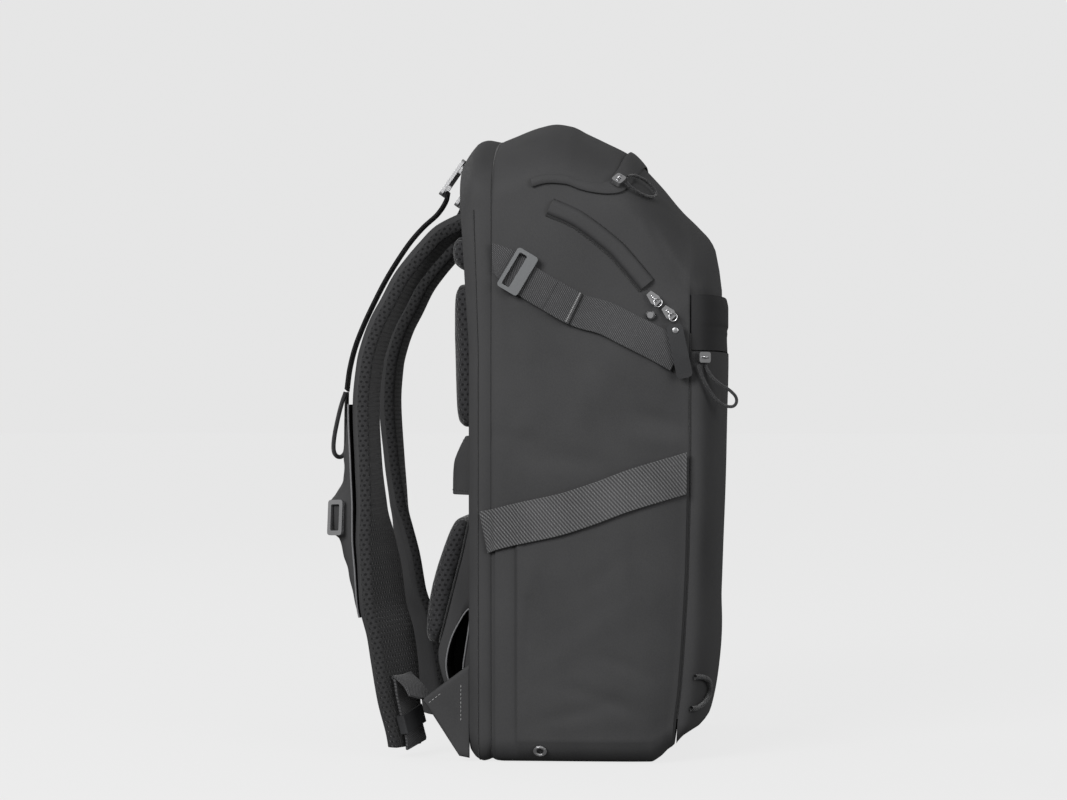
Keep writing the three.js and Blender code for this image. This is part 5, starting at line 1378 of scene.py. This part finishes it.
lifter_rows = [
    (0.8860, 0.259, 0.420), (0.8700, 0.280, 0.420), (0.8500, 0.350, 0.422),
    (0.8290, 0.470, 0.430), (0.8050, 0.580, 0.436), (0.7750, 0.688, 0.444),
    (0.7440, 0.785, 0.456), (0.7080, 0.880, 0.472), (0.6740, 0.962, 0.484),
    (0.6400, 1.030, 0.496), (0.6050, 1.075, 0.508), (0.5700, 1.098, 0.520),
]
anchor_rows = [(0.908, 0.052), (0.913, 0.09), (0.9165, 0.138)]
webbing_heights = (0.1240, 0.1140, 0.0897, 0.0340, 0.0200)
level = np.array([1.0, 0, 0])


def web_station(height, side):
    here = strap_frame(height, side)
    return strap_point(here, 19, -here[4] - 5.2), here[1]


for side, word in SIDES:
    line = [carry_point(side, r, s, h) for h, r, s in lifter_rows]
    plies = [ribbon("lifter_ply", line, [level] * len(line), 20, 0.75, WEBBING_THIN, 110, offset)
             for offset in (0.42, -0.42)]
    lifter = joined("lifter_webbing_plies_" + word, *plies)
    finish_piece(lifter, WEBBING_THIN, "webbing", "lifter_webbing_" + word)
    line = [carry_point(side, r, 0.42, h) for h, r in anchor_rows]
    anchor = ribbon("lifter_anchor_webbing_" + word, line, [level] * 3, 20, 1.6, WEBBING_THIN, 20)
    finish_piece(anchor, WEBBING_THIN, "webbing", "lifter_anchor_" + word)

    stations = [web_station(h, side) for h in webbing_heights]
    first = stations[0][1]
    line = [carry_point(side, 0.408, 0.905, 0.096), carry_point(side, 0.48, 0.85, 0.114)]
    ways = [first, first] + [s[1] for s in stations]
    lower = ribbon("lower_webbing_" + word + "_band", line + [s[0] for s in stations], ways, 25, 1.8,
                   WEBBING, 110)
    finish_piece(lower, WEBBING, "webbing", "lower_webbing_" + word)

# %% Wings
WING_REACH, WING_THICK, WING_X = 35.5, 3.0, 0.936 * HALF
wing_corners = [(0.0, 0.006), (0.22, 0.009), (0.92, 0.086), (1.0, 0.093), (0.96, 0.0985),
                (0.0, 0.15)]


def edge_points(corners, step):
    """Points along a closed outline, a step apart."""
    corners = np.array(corners, float)
    points = []
    for i, a in enumerate(corners):
        b = corners[(i + 1) % len(corners)]
        count = max(1, int(np.linalg.norm(b - a) / step))
        points += [a + (b - a) * k / count for k in range(count)]
    return np.array(points)


def wing_place(side, y, z, out):
    curl = 1.6 * smooth_step((y - 10) / 25)
    return xyz(side * (WING_X + out - curl), BACK_FACE + SEAT + y, z)


wing_outline = edge_points([(r * WING_REACH, h * TALL) for r, h in wing_corners], 2.0)
centre = wing_outline.mean(axis=0)
for side, word in SIDES:
    rings = []
    for share, out in ((0.02, 0.4), (0.3, 0.4), (0.6, 0.45), (0.85, 0.5), (0.95, 0.48), (0.985, 0.3),
                       (1.0, 0.0), (0.985, -0.3), (0.95, -0.48), (0.6, -0.45), (0.02, -0.4)):
        spots = centre + (wing_outline - centre) * share
        rings.append(wing_place(side, spots[:, 0], spots[:, 1], out * WING_THICK))
    wing = loft("wing_cloth_" + word, np.array(rings), angle=40)
    finish_piece(wing, SHELL, "shell_fabric", "strap_wing_" + word)
    for number, (y0, z0, y1, z1) in enumerate(((6.5, 58, 6.5, 28), (31, 44, 21, 52))):
        ends = np.array([[y0, z0], [y1, z1]])
        points = np.linspace(ends[0], ends[1], 20)
        for face in (-1, 1):
            line = wing_place(side, points[:, 0], points[:, 1], side * face * WING_THICK * 0.53)
            stitches(f"wing_stitches_{word}_{number}_{'in' if face > 0 else 'out'}", line, 2.2, 0.9,
                     0.55, THREAD, "shell_fabric")
print("webbing and wings done")

# %% [markdown]
# ## The back pads
# Six foam pads under black mesh cushion the back. Each starts as a low closed form and swells
# under cloth pressure, as foam pushes its cover. Pads carved by hand would look too even.

# %% Pads by cloth simulation
PAD_THICK = 17.0
pad_sizes = {
    "upper_pad": (0.235, 0.810, 0.7560, 0.8110),
    "mid_pad": (0.235, 0.810, 0.5110, 0.7380),
    "lumbar_pad": (0.160, 0.800, 0.1740, 0.3760),
}
wedge_profile = [
    (0.00, 0.1020), (0.32, 0.1020), (0.74, 0.1090), (0.90, 0.1290), (1.00, 0.1640),
    (0.84, 0.2010), (0.66, 0.2420), (0.48, 0.2830), (0.30, 0.3240), (0.16, 0.3640),
    (0.12, 0.3780), (0.00, 0.3820), (0.00, 0.2600), (0.00, 0.1700),
]
WEDGE_REACH, WEDGE_HALF, SLIT_DEEP = 28.4, 120.0, 60.0
wedge_slope = smooth_curve([(h, r) for r, h in wedge_profile[4:11]])


def pad_base(kind, z):
    if kind == "lumbar_pad":
        return PANEL_FACE + SEAT + wedge_slope(z / TALL) * WEDGE_REACH + SEAT
    return panel_y(z, SEAT)


def pad_height(kind, z):
    if kind == "lumbar_pad":
        share = (z / TALL - 0.174) / 0.202
        return PAD_THICK * (0.62 + 0.55 * np.sin(math.pi * np.clip(0.12 + share * 0.75, 0, 1)))
    return PAD_THICK + 0 * z


def pad_ring(kind, inset):
    inner, outer, low, high = pad_sizes[kind]
    x0, x1 = inner * HALF + inset, outer * HALF - inset
    z0, z1 = low * TALL + inset, high * TALL - inset
    radius = min(12.2, (z1 - z0) * 0.4, (x1 - x0) * 0.4)
    corners = ((x1 - radius, z0 + radius, -90), (x1 - radius, z1 - radius, 0),
               (x0 + radius, z1 - radius, 90), (x0 + radius, z0 + radius, 180))
    points = []
    for x, z, turn in corners:
        for angle in np.radians(np.linspace(turn, turn + 90, 12)):
            points.append((x + radius * math.cos(angle), z + radius * math.sin(angle)))
    points = np.array(points + points[:1])
    run = run_length(points)
    return along_line(points, run, np.linspace(0, run[-1], 96, endpoint=False))


def swell(piece, voxel, pressure, cap):
    """Lets a cloth cover swell, held to a cap in millimetres."""
    remesh = piece.modifiers.new("even_mesh", "REMESH")
    remesh.mode = "VOXEL"
    remesh.voxel_size = voxel * MM
    only_active(piece)
    bpy.ops.object.modifier_apply(modifier=remesh.name)
    before = np.empty(len(piece.data.vertices) * 3)
    piece.data.vertices.foreach_get("co", before)
    cover = piece.modifiers.new("cover", "CLOTH")
    cover.settings.use_pressure = True
    cover.settings.uniform_pressure_force = pressure
    cover.settings.effector_weights.gravity = 0
    cover.settings.tension_stiffness = 25
    cover.settings.bending_stiffness = 1.5
    cover.point_cache.frame_start, cover.point_cache.frame_end = 1, 20
    for number in range(1, 21):
        bpy.context.scene.frame_set(number)
    bpy.ops.object.modifier_apply(modifier=cover.name)
    bpy.context.scene.frame_set(1)
    after = np.empty_like(before)
    piece.data.vertices.foreach_get("co", after)
    move = (after - before).reshape(-1, 3)
    size = np.linalg.norm(move, axis=1, keepdims=True)
    move *= np.minimum(1, cap * MM / np.maximum(size, 1e-9))
    piece.data.vertices.foreach_set("co", before + move.ravel())
    piece.data.update()
    finer = piece.modifiers.new("finer", "SUBSURF")
    finer.levels = finer.render_levels = 1
    bpy.ops.object.modifier_apply(modifier=finer.name)
    bpy.ops.object.shade_smooth()


pad_levels = ((2.2, 0.04), (0.8, 0.16), (0.6, 0.34), (1.0, 0.52), (2.4, 0.68), (5.0, 0.80),
              (10.0, 0.87), (17.0, 0.90))
for kind in pad_sizes:
    for side, word in SIDES:
        rings = []
        for inset, share in pad_levels:
            spots = pad_ring(kind, inset)
            z = spots[:, 1]
            rings.append(xyz(side * spots[:, 0], pad_base(kind, z) + share * pad_height(kind, z), z))
        pad = loft(f"{kind}_{word}_cover", np.array(rings), angle=60)
        swell(pad, 4.0, 3.0, 2.2)
        base = np.array([v.co[:] for v in pad.data.vertices]) / MM
        floor_y = pad_base(kind, base[:, 2])
        base[:, 1] = np.maximum(base[:, 1], floor_y + 0.1)
        pad.data.vertices.foreach_set("co", (base * MM).ravel())
        finish_piece(pad, PAD_MESH, "mesh_fabric", f"{kind}_{word}")
        rim = pad_ring(kind, 1.2)
        z = rim[:, 1]
        line = xyz(side * rim[:, 0], pad_base(kind, z) + 1.1, z)
        rope(f"{kind}_{word}_binding", closed_line(line), 2.0, SEAM, "mesh_fabric",
             closed=True)
print("pads done")

# %% [markdown]
# ## Sleeve and lumbar wedge
# A smooth band of cloth stands off the panel between the mid pads and the lumbar pads. Below it a
# foam wedge lifts the lumbar pads. The wedge's left end opens as a slit pocket.

# %% Back sleeve
sleeve_out = smooth_curve([(0.408, 1.10), (0.43, 1.06), (0.456, 0.98), (0.48, 0.72), (0.499, 0.42)])
sleeve_wide = smooth_curve([(0.0, 1.0), (0.3, 1.0), (0.6, 1.0), (0.7, 0.92), (0.8, 0.28),
                            (0.86, 0.0)])
Z, S = np.meshgrid(np.linspace(0.408, 0.499, 30) * TALL, np.linspace(-0.86, 0.86, 111), indexing="ij")
rise = sleeve_out(Z / TALL) * sleeve_wide(abs(S)) * PAD_THICK
rise += 0.8 * np.sin(S * 14 + Z / 14) * np.clip(rise / 8, 0, 1)
sleeve_face = xyz(S * HALF, panel_y(Z, SEAT + rise + 2), Z)
sleeve_back = xyz(S * HALF, panel_y(Z, SEAT + rise), Z)
cloth_sheet("sleeve_cloth", sleeve_face, sleeve_back, SHELL, "shell_fabric", "back_sleeve", 0.5)
for name, row in (("top", 27), ("base", 2)):
    line = sleeve_face[row] + [0, 0.25, 0]
    stitches("sleeve_stitches_" + name, line, 2.6, 1.0, 0.5, SEAM, "shell_fabric")

# %% Lumbar wedge
slit_profile = [
    (0.34, 0.1230), (0.48, 0.1180), (0.68, 0.1200), (0.76, 0.1330), (0.78, 0.1500),
    (0.72, 0.1720), (0.60, 0.1930), (0.44, 0.2110), (0.28, 0.2260), (0.16, 0.2320),
    (0.14, 0.2220), (0.18, 0.2000), (0.26, 0.1700), (0.32, 0.1450),
]


def closed_profile(rows, per=8):
    """A smooth closed outline through the rows, with the same number of points each time."""
    rows = np.array([(r * WEDGE_REACH, h * TALL) for r, h in rows])
    points = []
    count = len(rows)
    for i in range(count):
        a, b, c, d = (rows[(i + k) % count] for k in (-1, 0, 1, 2))
        for t in np.linspace(0, 1, per, endpoint=False):
            straight = min(b[0], c[0]) < 0.5
            points.append(b + (c - b) * t if straight else spline(a, b, c, d, t))
    return np.array(points)


outer_profile, inner_profile = closed_profile(wedge_profile), closed_profile(slit_profile)
wedge_centre = outer_profile.mean(axis=0)


def profile_ring(profile, x, inset=0.0):
    spots = profile + (wedge_centre - profile) * inset
    return xyz(x, PANEL_FACE + SEAT + np.maximum(spots[:, 0], 0.0), spots[:, 1])


wedge_rings = [profile_ring(outer_profile, WEDGE_HALF, share) for share in (0.95, 0.6, 0.3, 0.1, 0.04)]
wedge_rings += [profile_ring(outer_profile, WEDGE_HALF - d, s) for d, s in ((0.6, 0.012), (2, 0.0))]
wedge_rings += [profile_ring(outer_profile, x) for x in np.linspace(114, -114, 40)]
wedge_rings += [profile_ring(outer_profile, -WEDGE_HALF + d, s) for d, s in ((2, 0), (0.6, 0.012))]
wedge_rings += [profile_ring(outer_profile, -WEDGE_HALF, 0.04),
                profile_ring(outer_profile, -WEDGE_HALF, 0.1)]
blend_ring = profile_ring(outer_profile, -WEDGE_HALF, 0.1)
mouth_ring = profile_ring(inner_profile, -WEDGE_HALF)
wedge_rings += [blend_ring * (1 - t) + mouth_ring * t for t in (0.4, 0.8, 0.94)]
wedge_rings += [mouth_ring + [1.2, 0, 0], profile_ring(inner_profile, -WEDGE_HALF + 6),
                profile_ring(inner_profile, -WEDGE_HALF + 30),
                profile_ring(inner_profile, -WEDGE_HALF + SLIT_DEEP)]
wedge = loft("lumbar_wedge_cloth", np.array(wedge_rings), angle=45)
finish_piece(wedge, SHELL, "shell_fabric", "lumbar_wedge")
mouth = profile_ring(inner_profile, -WEDGE_HALF - 0.4)
rope("slit_pocket_piping", closed_line(mouth), 1.3, PIPING, "shell_fabric", closed=True)
print("wedge:", len(wedge.data.polygons), "faces")

# %% [markdown]
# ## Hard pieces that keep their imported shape
# The frame's metal and plastic pieces are right in shape. They get a soft edge, so that light
# runs along it, and a metal or moulded finish.

# %% Finish the carried nodes
carried = {
    "upper_strap_buckle": (GUNMETAL, 0.5), "webbing_keeper_left": (PULL, 0.4),
    "webbing_keeper_right": (PULL, 0.4), "side_slider_upper": (NICKEL, 0.6),
    "side_slider_lower": (NICKEL, 0.6), "front_slider": (NICKEL, 0.6), "lid_slider": (NICKEL, 0.6),
    "pull_tab": (PULL, 0.6), "rivet_pull": (NICKEL, 0.3), "eyelet": (NICKEL, 0.3),
    "strap_clip": (NICKEL, 0.6), "lifter_buckle_left": (NICKEL, 0.5),
    "lifter_buckle_right": (NICKEL, 0.5),
}
for node, (material, width) in carried.items():
    piece = frame["nodes"][node]
    piece.data.materials.clear()
    piece.data.materials.append(material)
    soften(piece, width, 3, 35)
    piece.data.shade_smooth()

# %% [markdown]
# ## Bridges, rings and a rivet
# A zip slider carries a small arch, and the ring of its pull hangs in that arch. Both are bent
# wire, so each is a ring of round section, stood up or laid down. The pull tab is held at its
# upper end by a small domed rivet, which is a disc with its rim bevelled away.

# %% Bridges, rings and a rivet


def plate_frame(node):
    """The middle of a plate, and its directions: along it downwards, across it, and outward."""
    points = np.array([v.co[:] for v in frame["nodes"][node].data.vertices])
    middle = (points.min(axis=0) + points.max(axis=0)) / 2
    _, _, ways = np.linalg.svd(points - points.mean(axis=0), full_matrices=False)
    along, out = Vector(ways[0]), Vector(ways[2])
    along = -along if along.z > 0 else along
    out = -out if out.dot(Vector((middle[0], middle[1] + 0.02, middle[2] - 0.2))) < 0 else out
    spread = (points - points.mean(axis=0)) @ np.array(ways).T
    return Vector(middle), along, out.cross(along), out, np.ptp(spread, axis=0)


def set_in_place(name, place, first, second):
    """Turns the piece just made so that its x and y follow two directions, and moves it there."""
    piece = bpy.context.object
    piece.name = name
    turn = Matrix((first, second, first.cross(second))).transposed().to_4x4()
    piece.matrix_world = Matrix.Translation(place) @ turn
    bpy.ops.object.transform_apply(location=True, rotation=True, scale=True)
    piece.data.shade_smooth()
    finish_piece(piece, NICKEL, "nickel")


def wire_ring(name, place, first, second, across, wire):
    clear_selection()
    bpy.ops.mesh.primitive_torus_add(major_radius=across * MM, minor_radius=wire * MM,
                                     major_segments=40, minor_segments=12)
    set_in_place(name, place, first, second)


for node in ("side_slider_upper", "side_slider_lower", "lid_slider", "front_slider"):
    middle, along, across_way, outward, extent = plate_frame(node)
    top = middle + outward * extent[2] / 2
    wire_ring(node + "_bridge", top, along, outward, 2.3, 0.75)
    if node.startswith("side"):
        wire_ring(node + "_ring", top + along * 4.4 * MM + outward * 1.3 * MM, along, across_way,
                  3.0, 0.6)
middle, along, across_way, outward, extent = plate_frame("pull_tab")
clear_selection()
bpy.ops.mesh.primitive_cylinder_add(vertices=28, radius=2.4 * MM, depth=1.6 * MM)
bpy.ops.object.mode_set(mode="EDIT")
bpy.ops.mesh.select_all(action="SELECT")
bpy.ops.mesh.bevel(offset=0.55 * MM, segments=4)
bpy.ops.object.mode_set(mode="OBJECT")
rivet = middle - along * extent[0] * 0.38 + outward * extent[2] / 2
set_in_place("pull_tab_rivet", rivet, along, across_way)
